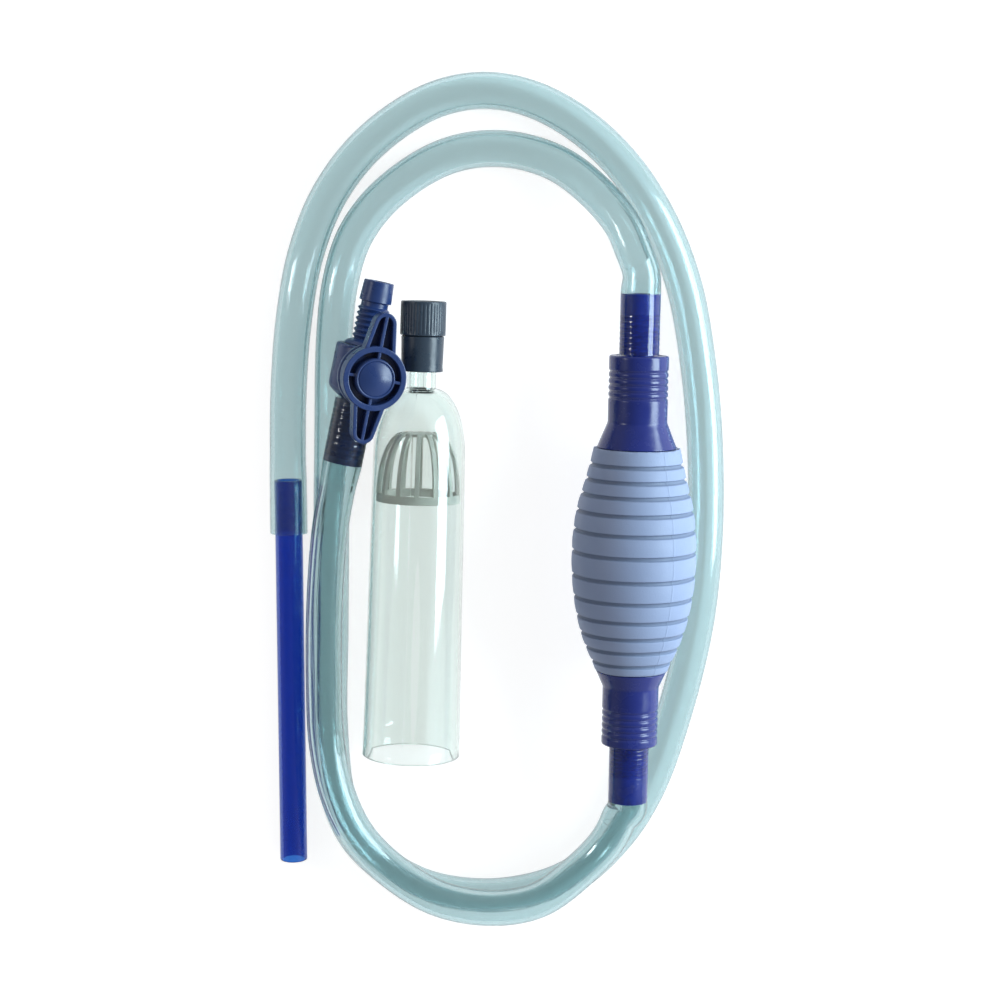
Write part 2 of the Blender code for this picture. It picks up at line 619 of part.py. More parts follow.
def tube_socket(material, axis):
    """The dark sleeve on the tube's neck, with a spigot that the collar screws on."""
    top = SOCKET_START + SOCKET_LENGTH
    neck_end = TUBE_STRAIGHT + TUBE_DOME + TUBE_NECK_LENGTH + GAP
    fit = TUBE_NECK_RADIUS + GAP
    outline = [(fit, SOCKET_START), (SOCKET_RADIUS - 0.0006, SOCKET_START),
               (SOCKET_RADIUS, SOCKET_START + 0.0006), (SOCKET_RADIUS, top - 0.0008),
               (SOCKET_RADIUS - 0.0008, top), (SOCKET_SPIGOT_RADIUS, top),
               (SOCKET_SPIGOT_RADIUS, top + SOCKET_SPIGOT_LENGTH), (SOCKET_BORE, top + SOCKET_SPIGOT_LENGTH),
               (SOCKET_BORE, neck_end), (fit, neck_end)]
    return turned("tube_socket", outline, material, axis)


def knurled_collar(material, axis):
    """The fluted nut with an open mouth; it turns on the socket's spigot."""
    low = SOCKET_START + SOCKET_LENGTH + GAP
    high = low + COLLAR_LENGTH
    bore = SOCKET_SPIGOT_RADIUS + GAP
    outline = [(bore, low), (COLLAR_RADIUS, low), (COLLAR_RADIUS, high - 0.0006),
               (COLLAR_RADIUS - 0.0006, high), (COLLAR_MOUTH, high), (COLLAR_MOUTH, high - COLLAR_LIP),
               (bore, high - COLLAR_LIP)]
    mesh = turned_mesh("knurled_collar", outline, 2 * COLLAR_FLUTES)
    for vertex in mesh.vertices:
        radius = math.hypot(vertex.co.x, vertex.co.y)
        index = round(math.atan2(vertex.co.y, vertex.co.x) / math.pi * COLLAR_FLUTES)
        if radius > COLLAR_RADIUS - 0.0002 and index % 2:
            vertex.co.x *= 1 - COLLAR_FLUTE_DEPTH / radius
            vertex.co.y *= 1 - COLLAR_FLUTE_DEPTH / radius
    return add_object("knurled_collar", mesh, material, axis)


def collar_washer(material, axis):
    """The flat rubber washer between the socket's spigot and the collar's lip."""
    low = SOCKET_START + SOCKET_LENGTH + SOCKET_SPIGOT_LENGTH + GAP
    outline = ring_outline(SOCKET_BORE + GAP, SOCKET_SPIGOT_RADIUS, low, low + WASHER_THICKNESS)
    return turned("collar_washer", outline, material, axis)


def tube_assembly(mats):
    """The gravel tube, its strainer and its coupling."""
    axis = axis_empty("tube_axis", tube_axis_matrix())
    gravel_tube(mats["clear"], axis)
    strainer(mats["white"], axis)
    tube_socket(mats["slate"], axis)
    knurled_collar(mats["slate"], axis)
    collar_washer(mats["rubber"], axis)


# ---------------------------------------------------------------- hand valve
def valve_directions():
    """Unit vectors: along the valve's bore, towards the handle, and across."""
    along = Vector((math.sin(VALVE_LEAN), math.cos(VALVE_LEAN), 0.0))
    level = along.cross(Vector((0, 0, 1)))
    towards_handle = math.cos(VALVE_ROLL) * Vector((0, 0, 1)) + math.sin(VALVE_ROLL) * level
    return along, towards_handle, along.cross(towards_handle)


def valve_matrices():
    """Frames at the ball's centre: local Z along the bore, and local Z towards the handle."""
    along, towards_handle, across = valve_directions()
    place = (VALVE_CENTRE[0], VALVE_CENTRE[1], VALVE_HEIGHT)
    bore_frame = frame_matrix(towards_handle, across, along, place)
    stem_frame = frame_matrix(across, along, towards_handle, place)
    return bore_frame, stem_frame


def valve_body(material, bore_axis, stem_axis):
    """The barrel with the ball's chamber, the bonnet under the handle and the lower barb."""
    half = BARREL_LENGTH / 2
    tip = -half - 0.0015 - VALVE_BARB_LENGTH
    step = (VALVE_BARB_LENGTH - 0.006) / VALVE_BARB_RINGS
    teeth = ringed(tip + 0.004, step, VALVE_BARB_RINGS, BARB_CREST, BARB_ROOT)
    outline = [(BARB_BORE, tip), (BARB_CREST - 0.0006, tip), (BARB_CREST, tip + 0.003)] + teeth
    outline += [(BARB_ROOT, -half - 0.0015), (BARREL_RADIUS - 0.004, -half),
                (BARREL_RADIUS - 0.001, -half + 0.0015), (BARREL_RADIUS, -half + 0.0045),
                (BARREL_RADIUS, half - 0.0015), (BARREL_RADIUS - 0.0015, half), (CHAMBER_RADIUS, half),
                (CHAMBER_RADIUS, -CHAMBER_DEPTH), (BARB_BORE, -CHAMBER_DEPTH)]
    body = turned("valve_body", outline, material, bore_axis, SIDES_SMALL)
    low = CHAMBER_RADIUS + 0.0006
    flange_low = BONNET_FLANGE_START
    flange_high = flange_low + BONNET_FLANGE_THICKNESS
    bonnet = [(0.0, low), (BONNET_RADIUS, low), (BONNET_RADIUS, flange_low),
              (BONNET_FLANGE_RADIUS, flange_low), (BONNET_FLANGE_RADIUS, flange_high), (0.0, flange_high)]
    boolean(body, cutter("bonnet_solid", turned_mesh("bonnet_solid", bonnet, 24), stem_axis), "UNION")
    ring_low = stem_ring_station() - RING_CORD / 2 - GAP
    ring_high = stem_ring_station() + RING_CORD / 2 + GAP
    bore = STEM_RADIUS + GAP
    room = STEM_RADIUS + RING_CORD + GAP
    drill = [(0.0, CHAMBER_RADIUS - 0.003), (bore, CHAMBER_RADIUS - 0.003), (bore, ring_low),
             (room, ring_low), (room, ring_high), (bore, ring_high), (bore, flange_high + 0.002),
             (0.0, flange_high + 0.002)]
    boolean(body, cutter("stem_drill", turned_mesh("stem_drill", drill, SIDES_SMALL), stem_axis))
    return body


def stem_ring_station():
    """Height of the stem's sealing ring above the bore."""
    return BONNET_FLANGE_START - 0.0010


def valve_coupler(material, axis):
    """The upper end: a plug that closes the chamber, six rings, a neck and the free spigot."""
    start = BARREL_LENGTH / 2 + GAP
    plug = start - COUPLER_PLUG
    top = spigot_top_station()
    spigot = top - SPIGOT_LENGTH
    neck = spigot - SPIGOT_NECK_LENGTH
    teeth_start = neck - COUPLER_RINGS * COUPLER_RING_PITCH
    outline = [(BARB_BORE, plug), (CHAMBER_RADIUS - GAP, plug), (CHAMBER_RADIUS - GAP, start),
               (BARREL_RADIUS - 0.0030, start), (BARREL_RADIUS - 0.0045, start + 0.0015),
               (SPIGOT_NECK_RADIUS + 0.0006, start + 0.0027)]
    outline += ringed(teeth_start, COUPLER_RING_PITCH, COUPLER_RINGS, SPIGOT_RADIUS, SPIGOT_NECK_RADIUS)
    outline += [(SPIGOT_NECK_RADIUS, neck), (SPIGOT_NECK_RADIUS, spigot), (SPIGOT_RADIUS, spigot + 0.0003),
                (SPIGOT_RADIUS, top - 0.0005), (SPIGOT_RADIUS - 0.0005, top), (BARB_BORE, top)]
    return turned("valve_coupler", outline, material, axis)


def spigot_top_station():
    """Station of the spigot's end face, so that its highest point is the layout's upper edge."""
    highest_rim = (SPIGOT_RADIUS - 0.0005) * math.sin(VALVE_LEAN)
    return (LAYOUT_LENGTH / 2 - VALVE_CENTRE[1] - highest_rim) / math.cos(VALVE_LEAN)


def valve_ball(material, bore_axis, stem_axis):
    """The ball with its bore in line with the pipe and a slot for the stem's tang."""
    reach = math.sqrt(BALL_RADIUS ** 2 - BALL_BORE ** 2)
    limit = math.degrees(math.atan2(reach, BALL_BORE))
    ball = turned("valve_ball", arc((0.0, 0.0), BALL_RADIUS, -limit, limit, 9), material, bore_axis, 20)
    wide = STEM_TANG[0] / 2 + GAP
    long = STEM_TANG[1] / 2 + GAP
    slot = [(-long, -wide), (long, -wide), (long, wide), (-long, wide)]
    tool = extruded_mesh("tang_slot", [slot], tang_bottom() - GAP, BALL_RADIUS + 0.002)
    boolean(ball, cutter("tang_slot", tool, stem_axis))
    return ball


def tang_bottom():
    """Height of the lower end of the stem's tang."""
    return BALL_RADIUS - 0.0022


def valve_stem(material, axis):
    """The round stem with a flat tang that turns the ball."""
    low = BALL_RADIUS + GAP
    outline = [(0.0, low), (STEM_RADIUS, low), (STEM_RADIUS, STEM_TOP), (0.0, STEM_TOP)]
    stem = turned("valve_stem", outline, material, axis, 20)
    wide = STEM_TANG[0] / 2
    long = STEM_TANG[1] / 2
    tang = [(-long, -wide), (long, -wide), (long, wide), (-long, wide)]
    tool = extruded_mesh("stem_tang", [tang], tang_bottom(), low + 0.001)
    boolean(stem, cutter("stem_tang", tool, axis), "UNION")
    return stem


def handle_outline():
    """A round middle with two tapering arms that end in half circles."""
    reach = HANDLE_HALF_LENGTH - HANDLE_TIP_RADIUS
    angle = math.degrees(math.acos(HANDLE_ROOT_HALF_WIDTH / HANDLE_RING_RADIUS))
    right = arc((0.0, 0.0), HANDLE_RING_RADIUS, -angle, angle, 13)
    upper_tip = arc((0.0, reach), HANDLE_TIP_RADIUS, 8, 172, 9)
    left = arc((0.0, 0.0), HANDLE_RING_RADIUS, 180 - angle, 180 + angle, 13)
    lower_tip = arc((0.0, -reach), HANDLE_TIP_RADIUS, 188, 352, 9)
    return right + upper_tip + left + lower_tip


def handle_pockets():
    """The hollows in the handle: four between the spokes, and two in each arm."""
    inner = HANDLE_HUB_RADIUS
    outer = HANDLE_RING_RADIUS - HANDLE_RING_WALL
    inner_edge = math.degrees(HANDLE_SPOKE / 2 / inner)
    outer_edge = math.degrees(HANDLE_SPOKE / 2 / outer)
    pockets = []
    for quarter in range(4):
        start = 90 * quarter
        pockets.append(arc((0, 0), outer, start + outer_edge, start + 90 - outer_edge, 8)
                       + arc((0, 0), inner, start + 90 - inner_edge, start + inner_edge, 8))
    root = HANDLE_RING_RADIUS + 0.0004
    tip = HANDLE_HALF_LENGTH - HANDLE_RIM
    rib = HANDLE_RIM / 2
    wide = HANDLE_ROOT_HALF_WIDTH - HANDLE_RIM - 0.0004
    narrow = HANDLE_TIP_RADIUS - HANDLE_RIM
    for side in (1, -1):
        for end in (1, -1):
            pocket = [(side * rib, end * root), (side * wide, end * (root - 0.0022)),
                      (side * (narrow + 0.0002), end * (tip - 0.0040)),
                      (side * (narrow - 0.0009), end * (tip - 0.0016)),
                      (side * rib, end * (tip - 0.0002))]
            pockets.append(pocket)
    return pockets


def valve_handle(material, axis):
    """The butterfly handle; its origin is on the stem's axis."""
    high = HANDLE_START + HANDLE_HEIGHT
    mesh = extruded_mesh("valve_handle", [handle_outline()], HANDLE_START, high)
    handle = add_object("valve_handle", mesh, material, axis)
    pockets = extruded_mesh("handle_pockets", handle_pockets(), HANDLE_START + HANDLE_FLOOR, high + 0.002)
    boolean(handle, cutter("handle_pockets", pockets, axis))
    drill = [(0.0, HANDLE_START - 0.001), (STEM_RADIUS + GAP, HANDLE_START - 0.001),
             (STEM_RADIUS + GAP, STEM_TOP + GAP), (0.0, STEM_TOP + GAP)]
    boolean(handle, cutter("handle_drill", turned_mesh("handle_drill", drill, 20), axis))
    return handle


def handle_cap(material, axis):
    """The domed button on the middle of the handle, covering the stem."""
    low = HANDLE_START + HANDLE_HEIGHT + GAP
    radius = HANDLE_HUB_RADIUS - 0.0002
    outline = [(0.0, low), (radius, low), (radius, low + 0.0006), (radius - 0.0010, low + 0.0010),
               (radius * 0.72, low + 0.0021), (radius * 0.36, low + 0.0028), (0.0, low + 0.0030)]
    return turned("handle_cap", outline, material, axis)


def valve_assembly(mats):
    """The hand valve, open, with the short hose's cuff on its barb."""
    bore_frame, stem_frame = valve_matrices()
    bore_axis = axis_empty("valve_bore_axis", bore_frame)
    stem_axis = axis_empty("valve_stem_axis", stem_frame)
    valve_body(mats["navy"], bore_axis, stem_axis)
    valve_coupler(mats["navy"], bore_axis)
    valve_ball(mats["white"], bore_axis, stem_axis)
    seat = (BARB_BORE, CHAMBER_RADIUS - GAP)
    far = BALL_SEAT_START + BALL_SEAT_THICKNESS
    turned("upper_ball_seat", ring_outline(*seat, BALL_SEAT_START, far), mats["white"], bore_axis)
    turned("lower_ball_seat", ring_outline(*seat, -far, -BALL_SEAT_START), mats["white"], bore_axis)
    valve_stem(mats["white"], stem_axis)
    rubber_ring("stem_seal_ring", STEM_RADIUS + GAP / 2, stem_ring_station(), mats["rubber"], stem_axis)
    valve_handle(mats["navy"], stem_axis)
    handle_cap(mats["navy"], stem_axis)
    tip = -BARREL_LENGTH / 2 - 0.0015 - VALVE_BARB_LENGTH
    top = -BARREL_LENGTH / 2 - 0.0015 - GAP
    turned("valve_cuff", ring_outline(BARB_CREST + GAP, CUFF_RADIUS, tip, top), mats["hose"], bore_axis)
    return bore_frame, tip


# ---------------------------------------------------------------- hoses
def hose(name, points, material):
    """A closed tube along a line of points, at the hose's real diameter."""
    curve = bpy.data.curves.new(name, "CURVE")
    curve.dimensions = "3D"
    curve.bevel_depth = HOSE_RADIUS
    curve.bevel_resolution = 3
    curve.use_fill_caps = True
    spline = curve.splines.new("POLY")
    spline.points.add(len(points) - 1)
    for target, place in zip(spline.points, points):
        target.co = (*place, 1.0)
    curve.materials.append(material)
    tube = bpy.data.objects.new(name, curve)
    bpy.context.collection.objects.link(tube)
    return tube


def hose_points(first_axis, first, route, last_axis, last, count, first_lead=HOSE_LEAD):
    """A straight lead from each fitting's end face, and a smooth evenly spaced curve between them."""
    start_lead = first + first_lead * first_axis
    end_lead = last + HOSE_LEAD * last_axis
    curve = smooth_curve((tuple(start_lead),) + route + (tuple(end_lead),))
    middle = [tuple(place) for place in evenly_spaced(curve, count)]
    return [tuple(first)] + middle + [tuple(last)]


def hoses(mats, bulb_ends, valve_frame, valve_tip, pipe_frame):
    """Both hoses, each from the end face of one fitting to the end face of the next."""
    upper, lower = bulb_ends
    upper_face = BULB_PLACE + (upper + GAP) * BULB_ALONG
    lower_face = BULB_PLACE + (lower - GAP) * BULB_ALONG
    pipe_up = pipe_frame.to_3x3() @ Vector((0, 0, 1))
    pipe_face = pipe_frame @ Vector((0, 0, PIPE_LENGTH + GAP))
    valve_down = valve_frame.to_3x3() @ Vector((0, 0, -1))
    valve_face = valve_frame @ Vector((0, 0, valve_tip - GAP))
    hose("long_hose", hose_points(BULB_ALONG, upper_face, LONG_HOSE_ROUTE, pipe_up, pipe_face,
                                  LONG_HOSE_POINTS), mats["hose"])
    hose("short_hose", hose_points(-BULB_ALONG, lower_face, SHORT_HOSE_ROUTE, valve_down, valve_face,
                                   SHORT_HOSE_POINTS, LOWER_BARB_LEAD), mats["hose"])


# ---------------------------------------------------------------- build
def materials():
    """One material for each plastic and rubber."""
    return {"bulb": plastic("bulb_pvc", (0.25, 0.32, 0.52), 0.55),
            "blue": plastic("royal_blue", (0.020, 0.022, 0.30), 0.3),
            "navy": plastic("valve_blue", (0.025, 0.045, 0.28), 0.35),
            "slate": plastic("slate_blue", (0.030, 0.055, 0.115), 0.35),
            "white": plastic("natural_plastic", (0.75, 0.75, 0.70), 0.45),
            "rubber": plastic("black_rubber", (0.02, 0.02, 0.02), 0.7),
            "clear": plastic("clear_styrene", (0.82, 0.90, 0.88), 0.05, 1.0),
            "clear_blue": plastic("clear_blue", (0.02, 0.06, 0.55), 0.12, 0.6),
            "hose": plastic("hose_vinyl", (0.55, 0.80, 0.82), 0.08, 1.0)}


def main():
    """Build the whole siphon."""
    clear_scene()
    mats = materials()
    bulb_ends = bulb_assembly(mats)
    outlet_pipe(mats)
    tube_assembly(mats)
    valve_frame, valve_tip = valve_assembly(mats)
    hoses(mats, bulb_ends, valve_frame, valve_tip, pipe_axis_matrix())


main()
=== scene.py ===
# %% [markdown]
# # A gravel vacuum siphon, piece by piece
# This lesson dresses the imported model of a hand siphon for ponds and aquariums. The CAD
# model is the fixed frame: it says where each piece is and which body it moves with. Each
# piece is then made again as a finer surface, worked out with numpy, and gets a material
# built from nodes. All sizes are in metres.

# %% Load the frame
import json
import math

import bmesh
import bpy
import numpy as np
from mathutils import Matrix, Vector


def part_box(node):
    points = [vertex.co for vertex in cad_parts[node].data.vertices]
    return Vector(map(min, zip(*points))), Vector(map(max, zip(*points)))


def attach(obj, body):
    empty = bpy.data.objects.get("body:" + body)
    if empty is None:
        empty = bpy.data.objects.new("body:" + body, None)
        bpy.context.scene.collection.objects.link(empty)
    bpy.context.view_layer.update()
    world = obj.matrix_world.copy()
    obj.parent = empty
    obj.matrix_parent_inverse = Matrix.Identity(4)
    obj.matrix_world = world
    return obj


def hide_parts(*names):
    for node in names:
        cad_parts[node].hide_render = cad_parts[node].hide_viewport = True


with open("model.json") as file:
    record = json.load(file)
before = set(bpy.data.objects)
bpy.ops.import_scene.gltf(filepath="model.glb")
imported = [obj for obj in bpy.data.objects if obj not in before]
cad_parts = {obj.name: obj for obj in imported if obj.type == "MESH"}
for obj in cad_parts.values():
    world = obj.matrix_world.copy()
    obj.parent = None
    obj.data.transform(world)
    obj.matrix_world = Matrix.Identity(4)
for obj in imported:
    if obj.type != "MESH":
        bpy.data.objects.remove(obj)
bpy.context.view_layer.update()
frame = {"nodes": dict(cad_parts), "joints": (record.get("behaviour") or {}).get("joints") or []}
joints = {joint["name"]: joint for joint in frame["joints"]}

# %% [markdown]
# ## Camera, floor and light
# The siphon lies on a table and is seen from almost straight above, so the camera hangs a
# metre over it and leans back a few degrees. A short telephoto lens keeps the long sides
# nearly parallel. Gloss on round plastic comes from what it mirrors: one large window on
# the right, a small lamp on the left, and a room that is pale near the window and darker
# overhead and on the left. The floor glows, like a light table, so that it stays white and
# clear plastic does not look grey on it.

# %% Camera
def add_camera(place, lean, lens):
    """A camera at place that looks down and leans by the angle lean, in degrees."""
    data = bpy.data.cameras.new("camera")
    data.lens = lens
    data.sensor_width = 36.0
    camera = bpy.data.objects.new("camera", data)
    bpy.context.scene.collection.objects.link(camera)
    camera.location = place
    camera.rotation_euler = (math.radians(lean), 0.0, 0.0)
    bpy.context.scene.camera = camera
    return camera


camera = add_camera((0.0079, 0.16636, 1.010), -7.4, 75.0)
print("camera height", camera.location.z)

# %% Floor
def add_floor(half):
    """A square floor at the height of the table top, which glows."""
    mesh = bpy.data.meshes.new("floor")
    corners = [(-half, -half, 0.0), (half, -half, 0.0), (half, half, 0.0), (-half, half, 0.0)]
    mesh.from_pydata(corners, [], [(0, 1, 2, 3)])
    floor = bpy.data.objects.new("floor", mesh)
    bpy.context.scene.collection.objects.link(floor)
    material = bpy.data.materials.new("floor_white")
    material.use_nodes = True
    shader = material.node_tree.nodes["Principled BSDF"]
    shader.inputs["Base Color"].default_value = (0.45, 0.45, 0.45, 1.0)
    shader.inputs["Roughness"].default_value = 0.8
    shader.inputs["Emission Color"].default_value = (1.0, 1.0, 1.0, 1.0)
    shader.inputs["Emission Strength"].default_value = 0.82
    mesh.materials.append(material)


add_floor(3.0)

# %% Lights
def add_window(name, place, size, power, colour):
    """A rectangular light at place that faces the middle of the object."""
    data = bpy.data.lights.new(name, "AREA")
    data.shape = "RECTANGLE"
    data.size = size[0]
    data.size_y = size[1]
    data.energy = power
    data.color = colour
    light = bpy.data.objects.new(name, data)
    bpy.context.scene.collection.objects.link(light)
    light.location = place
    away = light.location.normalized()
    light.rotation_euler = away.to_track_quat("Z", "Y").to_euler()
    return light


def direction_share(tree, source, limits, values):
    """A value that goes from the first to the second while a part of the direction goes
    between its limits."""
    ranged = tree.nodes.new("ShaderNodeMapRange")
    ranged.interpolation_type = "SMOOTHSTEP"
    for label, number in zip(("From Min", "From Max", "To Min", "To Max"), limits + values):
        ranged.inputs[label].default_value = number
    tree.links.new(source, ranged.inputs["Value"])
    return ranged.outputs["Result"]


def add_room(colour):
    """A room whose brightness is a share for the height of the direction times a share for
    its way along X: dim overhead and on the left, pale near the window."""
    world = bpy.data.worlds.new("room")
    world.use_nodes = True
    tree = world.node_tree
    way = tree.nodes.new("ShaderNodeSeparateXYZ")
    tree.links.new(tree.nodes.new("ShaderNodeTexCoord").outputs["Generated"], way.inputs["Vector"])
    product = tree.nodes.new("ShaderNodeMath")
    product.operation = "MULTIPLY"
    height = direction_share(tree, way.outputs["Z"], (0.35, 0.95), (0.95, 0.40))
    sideways = direction_share(tree, way.outputs["X"], (-0.7, 0.6), (0.50, 0.88))
    tree.links.new(height, product.inputs[0])
    tree.links.new(sideways, product.inputs[1])
    tree.nodes["Background"].inputs["Color"].default_value = (*colour, 1.0)
    tree.links.new(product.outputs["Value"], tree.nodes["Background"].inputs["Strength"])
    bpy.context.scene.world = world


add_window("window_right", (1.30, 0.25, 0.62), (1.1, 0.75), 35.0, (0.74, 0.92, 1.0))
add_window("lamp_left", (-1.10, 0.30, 0.80), (0.12, 0.30), 2.2, (0.95, 0.97, 1.0))
add_room((0.97, 0.98, 1.0))
bpy.context.scene.view_settings.view_transform = "Standard"

# %% [markdown]
# ## Surfaces from grids
# A turned, swept or folded piece is the same thing to numpy: a grid of points with two
# parameters. One helper turns such a grid into a mesh with faces between neighbours. It
# measures the volume with its sign, and turns the faces round if that is negative, so
# they always point outwards.

# %% Mesh from a grid
def grid_faces(rows, columns, wrap_rows):
    """Four corner numbers of each face of a grid whose columns always wrap round."""
    number = np.arange(rows * columns).reshape(rows, columns)
    across = np.roll(number, -1, axis=1)
    if wrap_rows:
        faces = [number, across, np.roll(across, -1, axis=0), np.roll(number, -1, axis=0)]
        return np.stack(faces, axis=-1).reshape(-1, 4)
    faces = [number[:-1], across[:-1], across[1:], number[1:]]
    return np.stack(faces, axis=-1).reshape(-1, 4)


def signed_volume(points, faces):
    """Sum of the tetrahedra from the origin to both triangles of each face."""
    a, b, c, d = (points[faces[:, k]] for k in range(4))
    first = np.einsum("ij,ij->i", a, np.cross(b, c))
    second = np.einsum("ij,ij->i", a, np.cross(c, d))
    return (first.sum() + second.sum()) / 6.0


def grid_shell(grid, wrap_rows=True):
    """Points and outward faces of a closed grid of shape (rows, columns, 3)."""
    points = grid.reshape(-1, 3)
    faces = grid_faces(grid.shape[0], grid.shape[1], wrap_rows)
    if signed_volume(points - points.mean(axis=0), faces) < 0:
        faces = faces[:, ::-1]
    return points, faces


def joined(shells):
    """Several (points, faces) shells as one."""
    starts = np.cumsum([0] + [len(shell[0]) for shell in shells[:-1]])
    points = np.vstack([shell[0] for shell in shells])
    faces = np.vstack([shell[1] + start for shell, start in zip(shells, starts)])
    return points, faces


def add_piece(name, shell, material, body, replaces=(), poles=False, sharp=180.0):
    """Make the shell an object that rides on a body and stands for its CAD nodes."""
    points, faces = shell
    mesh = bpy.data.meshes.new(name)
    mesh.vertices.add(len(points))
    mesh.vertices.foreach_set("co", points.astype(np.float32).ravel())
    mesh.loops.add(faces.size)
    mesh.loops.foreach_set("vertex_index", faces.astype(np.int32).ravel())
    mesh.polygons.add(len(faces))
    mesh.polygons.foreach_set("loop_start", np.arange(0, faces.size, 4, dtype=np.int32))
    mesh.update(calc_edges=True)
    mesh.validate()
    if poles:
        close_poles(mesh)
    mesh.shade_smooth()
    if sharp < 180.0:
        mesh.set_sharp_from_angle(angle=math.radians(sharp))
    mesh.materials.append(material)
    piece = bpy.data.objects.new(name, mesh)
    bpy.context.scene.collection.objects.link(piece)
    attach(piece, body)
    if replaces:
        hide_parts(*replaces)
    print(f"{name}: {2 * len(faces)} triangles")
    return piece


def close_poles(mesh):
    """Weld the points that meet on an axis, which leaves triangles there."""
    bm = bmesh.new()
    bm.from_mesh(mesh)
    bmesh.ops.remove_doubles(bm, verts=bm.verts, dist=1e-7)
    bm.to_mesh(mesh)
    bm.free()

# %% [markdown]
# ## Outlines with soft corners
# Moulded plastic has no sharp corners: the mould is cut with small round tools. So each
# outline is drawn with straight lines, and then every corner is swapped for a short arc.
# Two extra points just outside each arc keep the shading of the flats clean.

# %% Round the corners of an outline
def rounded(outline, size=0.0004, steps=4):
    """A closed outline whose corners are quadratic curves. Each starts a corner size before
    the corner, and at most two fifths of a side before it. A point's third value is its own
    corner size."""
    corners = np.array([point[:2] for point in outline], dtype=float)
    sizes = np.array([[point[2] if len(point) > 2 else size] for point in outline])
    before = np.roll(corners, 1, axis=0) - corners
    after = np.roll(corners, -1, axis=0) - corners
    length_before = np.maximum(np.linalg.norm(before, axis=1, keepdims=True), 1e-9)
    length_after = np.maximum(np.linalg.norm(after, axis=1, keepdims=True), 1e-9)
    cut = np.minimum(sizes, 0.4 * np.minimum(length_before, length_after))
    start = corners + before / length_before * cut
    end = corners + after / length_after * cut
    t = np.linspace(0.0, 1.0, steps + 1)[None, :, None]
    curve = ((1 - t) ** 2 * start[:, None] + 2 * t * (1 - t) * corners[:, None]
             + t ** 2 * end[:, None])
    lead_in = corners + before / length_before * cut * 1.2
    lead_out = corners + after / length_after * cut * 1.2
    return np.concatenate([lead_in[:, None], curve, lead_out[:, None]], axis=1).reshape(-1, 2)


def divided(outline, step):
    """The closed outline with points added, so that no side is longer than step."""
    corners = np.array(outline, dtype=float)
    after = np.roll(corners, -1, axis=0)
    parts = np.maximum(np.ceil(np.linalg.norm(after - corners, axis=1) / step).astype(int), 1)
    return np.vstack([a + (b - a) * np.arange(n)[:, None] / n
                      for a, b, n in zip(corners, after, parts)])

# %% Turned surfaces
def upright_frame(along, place):
    """Columns up, side and along of a piece that lies down, and its place."""
    along = np.array(along, dtype=float) / np.linalg.norm(along)
    side = np.cross(along, (0.0, 0.0, 1.0))
    side /= np.linalg.norm(side)
    return np.column_stack([np.cross(side, along), side, along]), np.array(place, dtype=float)


def turned(outline, axis_frame, columns=96, reshape=None, angles=None, closed=True):
    """Shell of an outline of (radius, station) carried round an axis: each point is
    place + station * along + radius * (cos t * first + sin t * second).
    reshape(radius, station, t) may give back changed radii and stations."""
    axes, place = axis_frame
    if angles is None:
        angles = np.linspace(0.0, 2 * math.pi, columns, endpoint=False)
    outline = np.array(outline, dtype=float)
    radius = np.repeat(outline[:, :1], len(angles), axis=1)
    station = np.repeat(outline[:, 1:], len(angles), axis=1)
    turn = np.repeat(angles[None], len(outline), axis=0)
    if reshape is not None:
        radius, station = reshape(radius, station, turn)
    local = np.stack([radius * np.cos(turn), radius * np.sin(turn), station], axis=-1)
    return grid_shell(local @ axes.T + place, wrap_rows=closed)


SEAM_WIDTH = 0.012


def seam_ridge(turn, seam):
    """One on a mould seam and on its twin opposite, and nought away from them: a bell curve
    of the angle to the nearer of the two."""
    nearest = np.abs(np.angle(np.exp(2j * (turn - seam)))) / 2
    return np.exp(-(nearest / SEAM_WIDTH) ** 2)


def seamed_angles(columns, seam):
    """Even angles, with nine more across each of the two opposite seams."""
    even = np.linspace(0.0, 2 * math.pi, columns, endpoint=False)
    close = np.concatenate([seam + side + SEAM_WIDTH * np.linspace(-2.5, 2.5, 9)
                            for side in (0.0, math.pi)])
    return np.sort(np.concatenate([even, close % (2 * math.pi)]))

# %% [markdown]
# ## Profiles carried along a path
# The hoses, the walls of the handle and the ribs of the strainer are a flat profile moved
# along a line. The profile is held upright: its sideways axis is square to the path and
# level, so no frame has to be passed on from one ring to the next.

# %% Smooth curve through points
def smooth_curve(points, samples_per_span=12):
    """A Catmull-Rom curve through the points, spaced by the chords between them."""
    route = np.array(points, dtype=float)
    route = np.vstack([2 * route[0] - route[1], route, 2 * route[-1] - route[-2]])
    chords = np.linalg.norm(np.diff(route, axis=0), axis=1)
    knots = np.concatenate([[0.0], np.cumsum(chords ** 0.5)])
    curve = []
    for i in range(1, len(route) - 2):
        p0, p1, p2, p3 = route[i - 1:i + 3]
        t0, t1, t2, t3 = knots[i - 1:i + 3]
        t = np.linspace(t1, t2, samples_per_span, endpoint=False)[:, None]
        a1 = (t1 - t) / (t1 - t0) * p0 + (t - t0) / (t1 - t0) * p1
        a2 = (t2 - t) / (t2 - t1) * p1 + (t - t1) / (t2 - t1) * p2
        a3 = (t3 - t) / (t3 - t2) * p2 + (t - t2) / (t3 - t2) * p3
        b1 = (t2 - t) / (t2 - t0) * a1 + (t - t0) / (t2 - t0) * a2
        b2 = (t3 - t) / (t3 - t1) * a2 + (t - t1) / (t3 - t1) * a3
        curve.append((t2 - t) / (t2 - t1) * b1 + (t - t1) / (t2 - t1) * b2)
    return np.vstack(curve + [route[-2][None]])


def path_length(path):
    """Length along a path, from zero at its first point."""
    return np.concatenate([[0.0], np.cumsum(np.linalg.norm(np.diff(path, axis=0), axis=1))])


